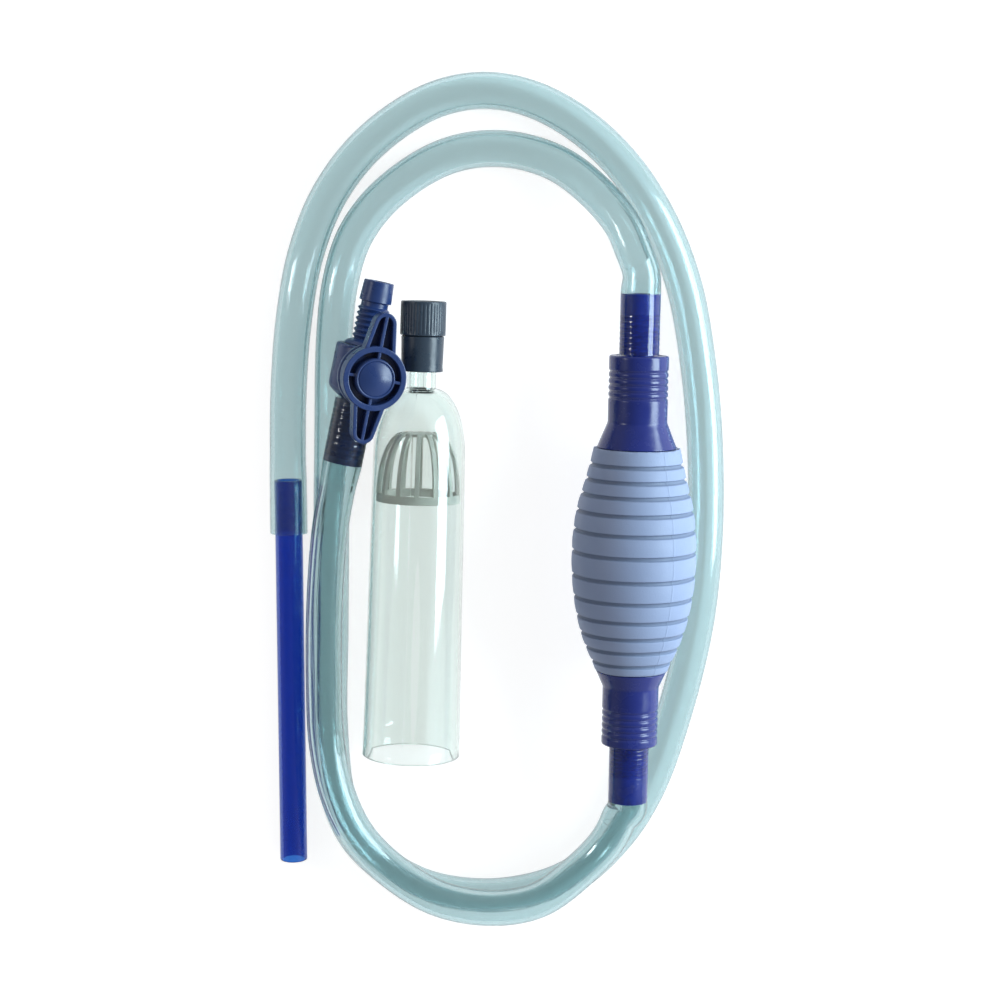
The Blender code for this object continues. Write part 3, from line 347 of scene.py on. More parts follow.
def at_lengths(path, wanted):
    """Places on the path at these lengths along it."""
    along = path_length(path)
    return np.column_stack([np.interp(wanted, along, path[:, k]) for k in range(3)])


def upright_axes(path, up, closed=False):
    """Level sideways axis and upward axis at each point of a path."""
    if closed:
        ahead = np.roll(path, -1, axis=0) - np.roll(path, 1, axis=0)
    else:
        ahead = np.gradient(path, axis=0)
    ahead /= np.linalg.norm(ahead, axis=1, keepdims=True)
    side = np.cross(ahead, np.array(up, dtype=float))
    side /= np.linalg.norm(side, axis=1, keepdims=True)
    return side, np.cross(side, ahead)


def wall_along(path, profile, up, closed=True):
    """Shell of a flat profile of (sideways, upwards) points carried along a path."""
    side, lift = upright_axes(path, up, closed)
    profile = np.array(profile, dtype=float)
    grid = (path[:, None] + profile[None, :, :1] * side[:, None]
            + profile[None, :, 1:] * lift[:, None])
    if closed:
        return grid_shell(grid)
    middle = profile.mean(axis=0)
    ends = [path[k] + middle[0] * side[k] + middle[1] * lift[k] for k in (0, -1)]
    columns = len(profile)
    first = np.repeat(ends[0][None, None], columns, axis=1)
    last = np.repeat(ends[1][None, None], columns, axis=1)
    return grid_shell(np.concatenate([first, grid, last]), wrap_rows=False)

# %% [markdown]
# ## Finishes
# The siphon is all plastic: soft matt vinyl for the bulb, glossy ABS for the caps, a
# satin blue for the hand valve, clear polystyrene for the gravel tube and clear soft
# vinyl for the hoses. What makes them look real is small: colour that is not quite even,
# smudges that change the gloss, and a faint waviness from the mould. Each of these three
# effects is a node group. The opaque plastics, the bulb included, use all three with their
# own values, and the clear ones use only the last two.

# %% Node groups
def new_group(name, inputs, outputs):
    """An empty shader node group with these sockets."""
    group = bpy.data.node_groups.new(name, "ShaderNodeTree")
    for label, kind in inputs:
        group.interface.new_socket(name=label, in_out="INPUT", socket_type=kind)
    for label, kind in outputs:
        group.interface.new_socket(name=label, in_out="OUTPUT", socket_type=kind)
    return group, group.nodes.new("NodeGroupInput"), group.nodes.new("NodeGroupOutput")


def add_noise(group, vector, scale, detail):
    """A noise texture that reads two sockets of the group's input."""
    noise = group.nodes.new("ShaderNodeTexNoise")
    noise.inputs["Detail"].default_value = detail
    group.links.new(vector, noise.inputs["Vector"])
    group.links.new(scale, noise.inputs["Scale"])
    return noise


def spread(group, value, low, high):
    """A Map Range node that stretches the middle of a noise over low to high."""
    ranged = group.nodes.new("ShaderNodeMapRange")
    ranged.inputs["From Min"].default_value = 0.32
    ranged.inputs["From Max"].default_value = 0.68
    group.links.new(value, ranged.inputs["Value"])
    for socket, source in (("To Min", low), ("To Max", high)):
        if isinstance(source, float):
            ranged.inputs[socket].default_value = source
        else:
            group.links.new(source, ranged.inputs[socket])
    return ranged.outputs["Result"]


def make_tone_group():
    """Colour that drifts between two tones, in large soft clouds."""
    group, given, result = new_group(
        "uneven_tone",
        [("Vector", "NodeSocketVector"), ("Scale", "NodeSocketFloat"),
         ("Tone", "NodeSocketColor"), ("Other Tone", "NodeSocketColor")],
        [("Color", "NodeSocketColor")])
    noise = add_noise(group, given.outputs["Vector"], given.outputs["Scale"], 3.0)
    mix = group.nodes.new("ShaderNodeMix")
    mix.data_type = "RGBA"
    group.links.new(spread(group, noise.outputs["Fac"], 0.0, 1.0), mix.inputs[0])
    group.links.new(given.outputs["Tone"], mix.inputs[6])
    group.links.new(given.outputs["Other Tone"], mix.inputs[7])
    group.links.new(mix.outputs[2], result.inputs["Color"])
    return group


def make_smudge_group():
    """Roughness between a low and a high value, as handling leaves it."""
    group, given, result = new_group(
        "handling_smudges",
        [("Vector", "NodeSocketVector"), ("Scale", "NodeSocketFloat"),
         ("Low", "NodeSocketFloat"), ("High", "NodeSocketFloat")],
        [("Roughness", "NodeSocketFloat")])
    noise = add_noise(group, given.outputs["Vector"], given.outputs["Scale"], 5.0)
    ranged = spread(group, noise.outputs["Fac"], given.outputs["Low"], given.outputs["High"])
    group.links.new(ranged, result.inputs["Roughness"])
    return group


def make_relief_group():
    """A normal from a fine noise, for the grain or the ripple of a moulded skin."""
    group, given, result = new_group(
        "moulded_relief",
        [("Vector", "NodeSocketVector"), ("Scale", "NodeSocketFloat"),
         ("Strength", "NodeSocketFloat")],
        [("Normal", "NodeSocketVector")])
    noise = add_noise(group, given.outputs["Vector"], given.outputs["Scale"], 2.0)
    bump = group.nodes.new("ShaderNodeBump")
    bump.inputs["Distance"].default_value = 0.0002
    group.links.new(given.outputs["Strength"], bump.inputs["Strength"])
    group.links.new(noise.outputs["Fac"], bump.inputs["Height"])
    group.links.new(bump.outputs["Normal"], result.inputs["Normal"])
    return group


TONE = make_tone_group()
SMUDGE = make_smudge_group()
RELIEF = make_relief_group()
print("groups:", [group.name for group in bpy.data.node_groups])

# %% Materials from the groups
def new_material(name):
    """A material with a Principled shader, and its node tree and shader."""
    material = bpy.data.materials.new(name)
    material.use_nodes = True
    return material, material.node_tree, material.node_tree.nodes["Principled BSDF"]


def place_group(tree, group, vector, values):
    """A group node that reads this vector and holds these values."""
    node = tree.nodes.new("ShaderNodeGroup")
    node.node_tree = group
    tree.links.new(vector, node.inputs["Vector"])
    for label, value in values.items():
        node.inputs[label].default_value = value
    return node.outputs[0]


def add_skin(tree, shader, place, smudge, gloss, relief):
    """Smudges (scale, low and high roughness) and relief (scale, strength) on a shader."""
    rough = place_group(tree, SMUDGE, place, {"Scale": smudge, "Low": gloss[0], "High": gloss[1]})
    normal = place_group(tree, RELIEF, place, {"Scale": relief[0], "Strength": relief[1]})
    tree.links.new(rough, shader.inputs["Roughness"])
    tree.links.new(normal, shader.inputs["Normal"])


def plastic(name, tone, other, gloss, relief, tone_scale=40.0, mirror=0.32):
    """Opaque plastic: two tones, a low and a high roughness, relief (scale, strength), and
    how strongly it mirrors."""
    material, tree, shader = new_material(name)
    place = tree.nodes.new("ShaderNodeTexCoord").outputs["Object"]
    colour = place_group(tree, TONE, place, {"Scale": tone_scale, "Tone": (*tone, 1.0),
                                             "Other Tone": (*other, 1.0)})
    tree.links.new(colour, shader.inputs["Base Color"])
    add_skin(tree, shader, place, 180.0, gloss, relief)
    shader.inputs["Specular IOR Level"].default_value = mirror
    material.diffuse_color = (*tone, 1.0)
    return material


def clear(name, tint, gloss, relief, ior, depth_colour, density, smudge=120.0, vector=None,
          mirror=0.5):
    """Clear plastic: a plain tint on the surface and a colour that deepens with thickness."""
    material, tree, shader = new_material(name)
    if vector is None:
        place = tree.nodes.new("ShaderNodeTexCoord").outputs["Object"]
    else:
        attribute = tree.nodes.new("ShaderNodeAttribute")
        attribute.attribute_name = vector
        place = attribute.outputs["Vector"]
    add_skin(tree, shader, place, smudge, gloss, relief)
    shader.inputs["Base Color"].default_value = (*tint, 1.0)
    shader.inputs["Transmission Weight"].default_value = 1.0
    shader.inputs["IOR"].default_value = ior
    shader.inputs["Specular IOR Level"].default_value = mirror
    absorb = tree.nodes.new("ShaderNodeVolumeAbsorption")
    absorb.inputs["Color"].default_value = (*depth_colour, 1.0)
    absorb.inputs["Density"].default_value = density
    tree.links.new(absorb.outputs["Volume"], tree.nodes["Material Output"].inputs["Volume"])
    material.diffuse_color = (*tint, 1.0)
    return material


CAP_BLUE = plastic("royal_blue_abs", (0.012, 0.023, 0.165), (0.009, 0.018, 0.140), (0.16, 0.30),
                   (260.0, 0.10), mirror=0.46)
BARB_BLUE = plastic("barb_blue_abs", (0.011, 0.042, 0.460), (0.009, 0.036, 0.400), (0.16, 0.30),
                    (260.0, 0.10), mirror=0.30)
VALVE_BLUE = plastic("valve_blue_satin", (0.013, 0.036, 0.132), (0.010, 0.029, 0.112), (0.24, 0.40),
                     (420.0, 0.16), mirror=0.45)
SLATE_BLUE = plastic("slate_blue_satin", (0.031, 0.047, 0.068), (0.025, 0.039, 0.058), (0.22, 0.38),
                     (420.0, 0.14), mirror=0.40)
NATURAL = plastic("natural_white", (0.78, 0.77, 0.70), (0.71, 0.70, 0.63), (0.35, 0.50),
                  (300.0, 0.12))
RUBBER = plastic("black_rubber", (0.020, 0.020, 0.021), (0.030, 0.030, 0.031), (0.60, 0.80),
                 (900.0, 0.25))
CLEAR_TUBE = clear("clear_polystyrene", (0.93, 0.965, 0.95), (0.03, 0.08), (60.0, 0.10), 1.53,
                   (0.58, 0.76, 0.70), 70.0)
CLEAR_BLUE = clear("clear_blue_pipe", (0.05, 0.25, 0.66), (0.06, 0.14), (90.0, 0.12), 1.50,
                   (0.03, 0.16, 0.70), 460.0)
HOSE_CLEAR = clear("clear_vinyl", (0.83, 0.90, 0.905), (0.05, 0.12), (1.0, 0.30), 1.50,
                   (0.36, 0.58, 0.61), 165.0, smudge=0.4, vector="straight_place", mirror=0.3)
print("materials:", len(bpy.data.materials))

# %% [markdown]
# ## The two hoses
# Both hoses are soft clear vinyl tube, 17.5 mm across with a 13 mm bore. The long one
# leaves the top of the squeeze bulb, runs once round inside and once round outside, and
# ends on the rigid outlet pipe. The short one joins the bottom of the bulb to the hand
# valve and rests on the long one. A hollow tube is needed, because what the eye sees in a
# clear hose is its inner wall. The centre line runs through the same points as in the CAD
# model. The wall swells where it is pushed over a barb, and grips it with no air between,
# which is why the barb looks as wide as the hose.

# %% Directions and places from the CAD
HOSE_RADIUS = 0.00875
HOSE_BORE = 0.0065
BARB_CREST = 0.00765
CUFF_RADIUS = 0.0095
FIT = 0.0003

upper_hinge = np.array(joints["upper_flap_swing"]["pos_m"])
lower_hinge = np.array(joints["lower_flap_swing"]["pos_m"])
bulb_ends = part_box("squeeze_bulb")
BULB_ALONG = (upper_hinge - lower_hinge) / np.linalg.norm(upper_hinge - lower_hinge)
BULB_PLACE = upper_hinge - BULB_ALONG * upper_hinge[1] / BULB_ALONG[1]
BULB_PLACE[2] = (bulb_ends[0].z + bulb_ends[1].z) / 2
bulb_frame = upright_frame(BULB_ALONG, BULB_PLACE)
BULB_TOP, BULB_BOTTOM = 0.0638, -0.0430
UPPER_CAP_LENGTH, LOWER_CAP_LENGTH = 0.0436, 0.0360
UPPER_RIM = BULB_TOP + FIT + UPPER_CAP_LENGTH
LOWER_RIM = BULB_BOTTOM - FIT - LOWER_CAP_LENGTH
BARB_LENGTH = 0.0287
UPPER_TIP = UPPER_RIM + BARB_LENGTH
LOWER_TIP = LOWER_RIM - BARB_LENGTH

VALVE_CENTRE = np.array(joints["handle_turn"]["pos_m"])
TOWARDS_HANDLE = -np.array(joints["handle_turn"]["axis"])
VALVE_ALONG = np.cross((0.0, 0.0, 1.0), TOWARDS_HANDLE)
VALVE_ALONG /= np.linalg.norm(VALVE_ALONG)
VALVE_ACROSS = np.cross(VALVE_ALONG, TOWARDS_HANDLE)
bore_frame = (np.column_stack([TOWARDS_HANDLE, VALVE_ACROSS, VALVE_ALONG]), VALVE_CENTRE)
stem_frame = (np.column_stack([VALVE_ACROSS, VALVE_ALONG, TOWARDS_HANDLE]), VALVE_CENTRE)
VALVE_TIP = -0.0445
VALVE_HOSE_FACE = -0.0138

PIPE_ALONG = -np.array(joints["pipe_pull"]["axis"])
PIPE_RADIUS = 0.0067
PIPE_LENGTH = 0.1900
PIPE_CUFF_LENGTH = 0.0260
pipe_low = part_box("outlet_pipe")[0]
pipe_start = (pipe_low.x + PIPE_RADIUS, pipe_low.y + PIPE_RADIUS * PIPE_ALONG[2],
              pipe_low.z + PIPE_RADIUS * PIPE_ALONG[1])
pipe_frame = upright_frame(PIPE_ALONG, pipe_start)
print("valve runs along", VALVE_ALONG.round(4), "pipe starts at", pipe_frame[1].round(4))

# %% Routes of the centre lines
LONG_ROUTE = (
    (0.0702, 0.1570, 0.0278), (0.0650, 0.1690, 0.0242),
    (0.0535, 0.1830, 0.0185), (0.0364, 0.1965, 0.0125), (0.0174, 0.2032, 0.0095),
    (-0.0010, 0.2042, 0.0088), (-0.0182, 0.2004, 0.0088), (-0.0349, 0.1915, 0.0088),
    (-0.0510, 0.1778, 0.0088), (-0.0620, 0.1618, 0.0088), (-0.0685, 0.1410, 0.0088),
    (-0.0716, 0.1150, 0.0088), (-0.0730, 0.0700, 0.0088), (-0.0740, 0.0200, 0.0088),
    (-0.0748, -0.0300, 0.0088), (-0.0755, -0.0750, 0.0088), (-0.0715, -0.1130, 0.0088),
    (-0.0600, -0.1360, 0.0088), (-0.0330, -0.1560, 0.0088), (0.0044, -0.1620, 0.0088),
    (0.0410, -0.1530, 0.0088), (0.0640, -0.1330, 0.0088), (0.0800, -0.1080, 0.0088),
    (0.0932, -0.0700, 0.0088), (0.1035, -0.0250, 0.0088), (0.1074, 0.0180, 0.0088),
    (0.1069, 0.0630, 0.0088), (0.1030, 0.1030, 0.0088), (0.0958, 0.1400, 0.0088),
    (0.0842, 0.1695, 0.0088), (0.0680, 0.1945, 0.0088), (0.0467, 0.2147, 0.0088),
    (0.0230, 0.2275, 0.0088), (0.0008, 0.2315, 0.0088), (-0.0205, 0.2280, 0.0088),
    (-0.0400, 0.2180, 0.0088), (-0.0590, 0.2020, 0.0088), (-0.0745, 0.1805, 0.0088),
    (-0.0850, 0.1540, 0.0088), (-0.0908, 0.1240, 0.0088), (-0.0938, 0.0900, 0.0090))
SHORT_ROUTE = (
    (0.0659, -0.1160, 0.0290), (0.0633, -0.1220, 0.0287), (0.0586, -0.1301, 0.0283),
    (0.0473, -0.1425, 0.0275), (0.0270, -0.1580, 0.0269), (0.0044, -0.1622, 0.0268),
    (-0.0220, -0.1575, 0.0268), (-0.0440, -0.1440, 0.0268), (-0.0605, -0.1270, 0.0268),
    (-0.0705, -0.1060, 0.0268), (-0.0757, -0.0800, 0.0268), (-0.0768, -0.0500, 0.0268),
    (-0.0760, -0.0100, 0.0268), (-0.0730, 0.0250, 0.0270))
LEAD = 0.0090
LOWER_BARB_LEAD = 0.0030


def fitted_path(start_face, start_tip, route, end_tip, end_face, lead=LEAD):
    """A curve that is straight on both fittings and for a lead past each, and follows the
    route between them. lead is the one at the start."""
    start_way = (start_tip - start_face) / np.linalg.norm(start_tip - start_face)
    end_way = (end_tip - end_face) / np.linalg.norm(end_tip - end_face)
    points = [start_face, (start_face + start_tip) / 2, start_tip, start_tip + lead * start_way]
    points += [np.array(place) for place in route]
    points += [end_tip + LEAD * end_way, end_tip, (end_tip + end_face) / 2, end_face]
    return smooth_curve(points, samples_per_span=40)


def on_bulb(station):
    """The point of the bulb's axis at this station."""
    return BULB_PLACE + station * BULB_ALONG


long_path = fitted_path(on_bulb(UPPER_RIM + FIT), on_bulb(UPPER_TIP + FIT), LONG_ROUTE,
                        pipe_frame[1] + (PIPE_LENGTH + FIT) * PIPE_ALONG,
                        pipe_frame[1] + (PIPE_LENGTH - PIPE_CUFF_LENGTH) * PIPE_ALONG)
short_path = fitted_path(on_bulb(LOWER_RIM - FIT), on_bulb(LOWER_TIP - FIT), SHORT_ROUTE,
                         VALVE_CENTRE + (VALVE_TIP - FIT) * VALVE_ALONG,
                         VALVE_CENTRE + VALVE_HOSE_FACE * VALVE_ALONG, LOWER_BARB_LEAD)

# %% Hollow hose along a path
END_LENGTH = 0.042
GRIPPED_BORE = HOSE_BORE + 0.0001


def fade(length, start, end):
    """One before start, nought after end, and a smooth step between them."""
    t = np.clip((length - start) / (end - start), 0.0, 1.0)
    return 1.0 - t * t * (3.0 - 2.0 * t)


def hose_radii(length, fitting, stretched, bore, ring_pitch):
    """Outer and inner radius at a length from one end. The wall is stretched over a fitting
    that is this long, and ripples a little over its rings. The soft wall wraps the teeth of a
    barb with no air between, so the bore goes on inside the barb."""
    outside = fade(length, fitting - 0.001, fitting + 0.013)
    inside = fade(length, fitting - 0.0005, fitting + 0.011)
    ripple = 0.00010 * np.cos(2 * math.pi * length / ring_pitch) * fade(length, 0.6 * fitting,
                                                                     0.75 * fitting)
    return ((stretched - HOSE_RADIUS) * outside + ripple, (bore - HOSE_BORE) * inside)


def add_hose(name, path, fittings, columns=48):
    """A hollow tube: the outer wall along the path, and the inner wall back again. Each
    fitting is (length, stretched radius, bore, ring pitch) at the start or the end."""
    total = path_length(path)[-1]
    near = np.arange(0.0, END_LENGTH, 0.0007)
    middle = np.linspace(END_LENGTH, total - END_LENGTH, int(total / 0.0027))
    lengths = np.concatenate([near, middle, (total - near)[::-1]])
    centres = at_lengths(path, lengths)
    centres[:, 2] = np.maximum(centres[:, 2], HOSE_RADIUS + 0.0001)
    side, lift = upright_axes(centres, (0.0, 0.0, 1.0))
    start_out, start_in = hose_radii(lengths, *fittings[0])
    end_out, end_in = hose_radii(total - lengths, *fittings[1])
    outer = HOSE_RADIUS + start_out + end_out
    inner = HOSE_BORE + start_in + end_in
    turn = np.linspace(0.0, 2 * math.pi, columns, endpoint=False)
    spoke = (np.cos(turn)[None, :, None] * lift[:, None]
             + np.sin(turn)[None, :, None] * side[:, None])
    grid = np.concatenate([centres[:, None] + outer[:, None, None] * spoke,
                           (centres[:, None] + inner[:, None, None] * spoke)[::-1]])
    hose = add_piece(name, grid_shell(grid), HOSE_CLEAR, "siphon", sharp=70.0)
    add_straight_place(hose, np.concatenate([lengths, lengths[::-1]]), turn)
    return hose, centres


def add_straight_place(hose, lengths, turn):
    """Attribute with the place that each point would have on a straight hose, drawn out so
    that a noise on it makes streaks about 1 mm wide and 50 mm long."""
    place = np.empty((len(lengths), len(turn), 3), dtype=np.float32)
    place[:, :, 0] = 8.0 * np.cos(turn)[None]
    place[:, :, 1] = 8.0 * np.sin(turn)[None]
    place[:, :, 2] = lengths[:, None] / 0.05
    attribute = hose.data.attributes.new("straight_place", "FLOAT_VECTOR", "POINT")
    attribute.data.foreach_set("vector", place.ravel())


long_hose, long_centres = add_hose("long_hose_tube", long_path, (
    (BARB_LENGTH, CUFF_RADIUS, GRIPPED_BORE, 0.0025),
    (PIPE_CUFF_LENGTH, 0.0090, PIPE_RADIUS + FIT, 0.1)))
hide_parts("long_hose", "long_hose_cuff", "pipe_cuff")
short_hose, short_centres = add_hose("short_hose_tube", short_path, (
    (BARB_LENGTH, CUFF_RADIUS, GRIPPED_BORE, 0.0020),
    (VALVE_HOSE_FACE - VALVE_TIP, CUFF_RADIUS, GRIPPED_BORE, 0.0031)))
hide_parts("short_hose", "short_hose_cuff", "valve_cuff")

# %% [markdown]
# ## The squeeze bulb
# The bulb is blow moulded in soft vinyl. It has an egg outline, twelve flat-bottomed
# grooves that let it fold when it is squeezed, a thin line where the two mould halves
# met, and a little flash left round its top edge. All of that is one turned surface whose
# radius depends on both the station and the angle, so no cutting is needed.

# %% Bulb shape
BULB_OUTLINE = ((BULB_TOP, 0.0203), (0.0500, 0.0236), (0.0340, 0.0277), (0.0130, 0.0295),
                (-0.0080, 0.0281), (-0.0260, 0.0241), (BULB_BOTTOM, 0.0171))
BULB_WALL = 0.0025
GROOVE_CENTRE = 0.0090
GROOVE_MIDDLE_GAP = 0.0114
GROOVE_GAP_STEP = 0.0011
GROOVE_LEAST_GAP = 0.0070
GROOVE_WIDTH = 0.0019
GROOVE_DEPTH = 0.0010
UPPER_MOUTH = 0.0177
LOWER_MOUTH = 0.0146
MOULD_LINE = math.radians(35.0)

outline_curve = smooth_curve(BULB_OUTLINE)[::-1]


def bulb_radius(station):
    """Radius of the smooth egg outline at these stations."""
    return np.interp(station, outline_curve[:, 0], outline_curve[:, 1])


def groove_stations():
    """Groove places: the gaps shrink by one step from the middle to each end."""
    gaps = np.maximum(GROOVE_MIDDLE_GAP - GROOVE_GAP_STEP * np.arange(1, 6), GROOVE_LEAST_GAP)
    half = GROOVE_MIDDLE_GAP / 2 + np.concatenate([[0.0], np.cumsum(gaps)])
    return np.sort(np.concatenate([GROOVE_CENTRE - half, GROOVE_CENTRE + half]))


GROOVES = groove_stations()


def groove_share(station):
    """One at the bottom of a groove and nought on a band, with steep sides."""
    distance = np.abs(station[..., None] - GROOVES).min(axis=-1)
    return np.exp(-(distance / (0.5 * GROOVE_WIDTH)) ** 6)


def bulb_stations():
    """Stations from end to end, close together in the grooves."""
    inside = np.concatenate([g + 0.00135 * np.linspace(-1, 1, 17) for g in GROOVES])
    even = np.linspace(BULB_BOTTOM + 0.0004, BULB_TOP - 0.0004, 80)
    return np.sort(np.concatenate([inside, even]))


def bulb_detail(radius, station, turn):
    """Add what makes the egg a bulb: grooves, softly crowned bands, the mould line, a slow
    unevenness of the wall and the ragged flash round the top edge."""
    outside = radius > bulb_radius(station) - 0.0006
    gap = np.abs(station[..., None] - GROOVES).min(axis=-1)
    crown = 0.00022 * np.clip(gap / 0.0045, 0.0, 1.0)
    slow = 0.00010 * np.sin(3 * turn + 60 * station) + 0.00008 * np.sin(5 * turn - 90 * station)
    change = crown - GROOVE_DEPTH * groove_share(station) + 0.00016 * seam_ridge(turn, MOULD_LINE) + slow
    radius = radius + np.where(outside, change, 0.0)
    rim = np.clip((station - BULB_TOP + 0.0006) / 0.0006, 0.0, 1.0)
    flash = 0.00012 * (np.sin(7 * turn) + np.sin(11 * turn + 1.0) + np.sin(23 * turn + 2.0))
    tag = 0.0010 * np.exp(-((turn - math.radians(78)) / 0.07) ** 2)
    return radius, station + rim * np.where(outside, flash + tag, 0.0)

# %% Bulb surface
def bulb_outline():
    """Outer wall from bottom to top, then the mouths and the inner wall back down."""
    outer = bulb_stations()
    line = [(radius, station) for radius, station in zip(bulb_radius(outer), outer)]
    top, bottom = BULB_TOP, BULB_BOTTOM
    line = [(bulb_radius(bottom) - 0.0004, bottom)] + line
    line += [(bulb_radius(top) - 0.0001, top), (bulb_radius(top) - 0.0006, top), (UPPER_MOUTH, top),
             (UPPER_MOUTH, top - 0.0160)]
    inner = np.linspace(top - 0.0200, bottom + 0.0200, 24)
    line += [(radius - BULB_WALL, station) for radius, station in zip(bulb_radius(inner), inner)]
    line += [(LOWER_MOUTH, bottom + 0.0160), (LOWER_MOUTH, bottom)]
    return np.array(line)


def bulb_material():
    """Matt vinyl: a fine pebbled grain, clouds of tone, and painted shade in the grooves, where the
    colour is mixed toward a dark blue.
    """
    material, tree, shader = new_material("bulb_vinyl_matt")
    place = tree.nodes.new("ShaderNodeTexCoord").outputs["Object"]
    skin = place_group(tree, TONE, place, {"Scale": 30.0, "Tone": (0.220, 0.275, 0.420, 1.0),
                                           "Other Tone": (0.243, 0.300, 0.450, 1.0)})
    # Painted shade: the groove share mixes a darker blue into the colour at the bottom of each groove,
    # where shadow falls.
    deep = tree.nodes.new("ShaderNodeAttribute")
    deep.attribute_name = "groove_share"
    mix = tree.nodes.new("ShaderNodeMix")
    mix.data_type = "RGBA"
    tree.links.new(deep.outputs["Fac"], mix.inputs[0])
    tree.links.new(skin, mix.inputs[6])
    # The painted shade colour of the groove bottoms.
    mix.inputs[7].default_value = (0.130, 0.170, 0.260, 1.0)
    tree.links.new(mix.outputs[2], shader.inputs["Base Color"])
    add_skin(tree, shader, place, 90.0, (0.52, 0.68), (1500.0, 0.35))
    return material


def add_bulb():
    """The bulb as one closed turned surface, with its groove attribute, which is the mask of the painted
    shade in the grooves.
    """
    outline = bulb_outline()
    angles = seamed_angles(120, MOULD_LINE)
    bulb = add_piece("bulb_skin", turned(outline, bulb_frame, angles=angles, reshape=bulb_detail),
                     bulb_material(), "siphon", ["squeeze_bulb"], sharp=60.0)
    # The groove share on the outer wall, kept as the mask of the painted groove shade.
    outside = outline[:, 0] > bulb_radius(outline[:, 1]) - 0.0006
    share = np.repeat(np.where(outside, groove_share(outline[:, 1]), 0.0), len(angles))
    attribute = bulb.data.attributes.new("groove_share", "FLOAT", "POINT")
    attribute.data.foreach_set("value", share.astype(np.float32))


add_bulb()
print("grooves at", GROOVES.round(4))

# %% [markdown]
# ## End caps and hose barbs
# Each end of the bulb is closed by a glossy blue cap: a cone on the bulb, a straight neck
# and a ribbed grip under a rounded rim. A barb with fine rings stands out of each cap and
# holds its hose. They are all turned pieces, so each is one outline with soft corners. The
# ribs of the grip are the cap's radius with five round-bottomed grooves taken from it.

# %% Caps
CAP_BORE = 0.0110
CAP_THROAT = 0.0092
PLUG_LENGTH = 0.0143
UPPER_CAP_RADIUS = 0.0141
LOWER_CAP_RADIUS = 0.01345
GROOVE_PITCH = 0.0031
SHOULDER_UP = BULB_TOP + FIT
SHOULDER_DOWN = BULB_BOTTOM - FIT


def cap_outline(out, shoulder, rim, radii, cone, bore_steps):
    """Section of a cap whose rim points out, +1 or -1: the plug, the brim on the bulb, the
    cone, the grip, and the bore in three steps. radii are those of the skirt's inside, the
    plug, the brim and the grip."""
    inside, plug, brim, grip = radii
    ledge, throat, skirt = bore_steps
    return [(inside, shoulder - out * PLUG_LENGTH), (plug, shoulder - out * PLUG_LENGTH),
            (plug, shoulder), (brim, shoulder), (grip, shoulder + out * cone, 0.0006),
            (grip, rim, 0.0020), (CAP_BORE, rim), (CAP_BORE, ledge), (CAP_THROAT, ledge),
            (CAP_THROAT, throat), (inside, skirt)]


def grip_grooves(places, wall):
    """Reshape that takes round-bottomed grooves out of the wall of this radius: a bell
    curve 0.6 mm deep at each place."""
    def reshape(radius, station, _turn):
        """Take the bells from the radius of the wall."""
        bells = np.exp(-((station[..., None] - places) / 0.00058) ** 2).sum(axis=-1)
        return radius - np.where(radius > wall - 0.0004, 0.0006 * bells, 0.0), station
    return reshape


def add_cap(name, outline, places, wall, node):
    """A cap from its outline, its groove places and the radius of its grip."""
    shell = turned(divided(rounded(outline), 0.0003), bulb_frame, 112,
                   reshape=grip_grooves(places, wall))
    add_piece(name, shell, CAP_BLUE, "siphon", [node], sharp=60.0)


upper_cap = cap_outline(1, SHOULDER_UP, UPPER_RIM, (0.0152, 0.0174, 0.0189, UPPER_CAP_RADIUS),
                        0.0119, (SHOULDER_UP + 0.0149, SHOULDER_UP + 0.0119, SHOULDER_UP - 0.0010))
lower_cap = cap_outline(-1, SHOULDER_DOWN, LOWER_RIM, (0.0121, 0.0143, 0.0169, LOWER_CAP_RADIUS),
                        0.0077, (LOWER_RIM + 0.0156, SHOULDER_DOWN - 0.0030, SHOULDER_DOWN))
upper_places = UPPER_RIM - 0.0075 - GROOVE_PITCH * np.arange(5)
lower_places = LOWER_RIM + 0.0045 + GROOVE_PITCH * np.arange(5)
add_cap("cap_upper", upper_cap, upper_places, UPPER_CAP_RADIUS, "upper_end_cap")
add_cap("cap_lower", lower_cap, lower_places, LOWER_CAP_RADIUS, "lower_end_cap")

# %% Barbs
BARB_ROOT = 0.0068
BARB_BORE = 0.0050
BARB_RINGS = 7
SEAL_DEPTH = 0.0015
SEAL_HALF = 0.00105


def rings(start, step, count, crest=BARB_CREST, root=BARB_ROOT):
    """Teeth along a barb, each one from a root up to a crest."""
    places = start + step * np.arange(count)[:, None] + step * np.array([[0.0, 0.55]])
    radii = np.broadcast_to([root, crest], places.shape)
    return list(zip(radii.ravel(), places.ravel()))


def barb_outline(rim, plug, out, step):
    """Plug with a ring groove inside the cap, then a ringed spout with a plain tip. out is
    +1 or -1, the way the spout points."""
    fit = CAP_BORE - FIT
    middle = (rim + plug) / 2
    tip = rim + out * BARB_LENGTH
    low, high = middle - out * SEAL_HALF, middle + out * SEAL_HALF
    line = [(BARB_BORE, plug), (fit, plug), (fit, low), (fit - SEAL_DEPTH, low),
            (fit - SEAL_DEPTH, high), (fit, high), (fit, rim - out * FIT),
            (BARB_ROOT, rim - out * FIT)]
    line += rings(rim + out * 0.0006, out * step, BARB_RINGS)
    end = rim + out * (0.0006 + BARB_RINGS * step)
    line += [(BARB_ROOT, end), (BARB_CREST, end + out * 0.001), (BARB_CREST, tip - out * 0.004),
             (BARB_CREST - 0.0006, tip), (BARB_BORE, tip)]
    return rounded(line, 0.00018, steps=3)


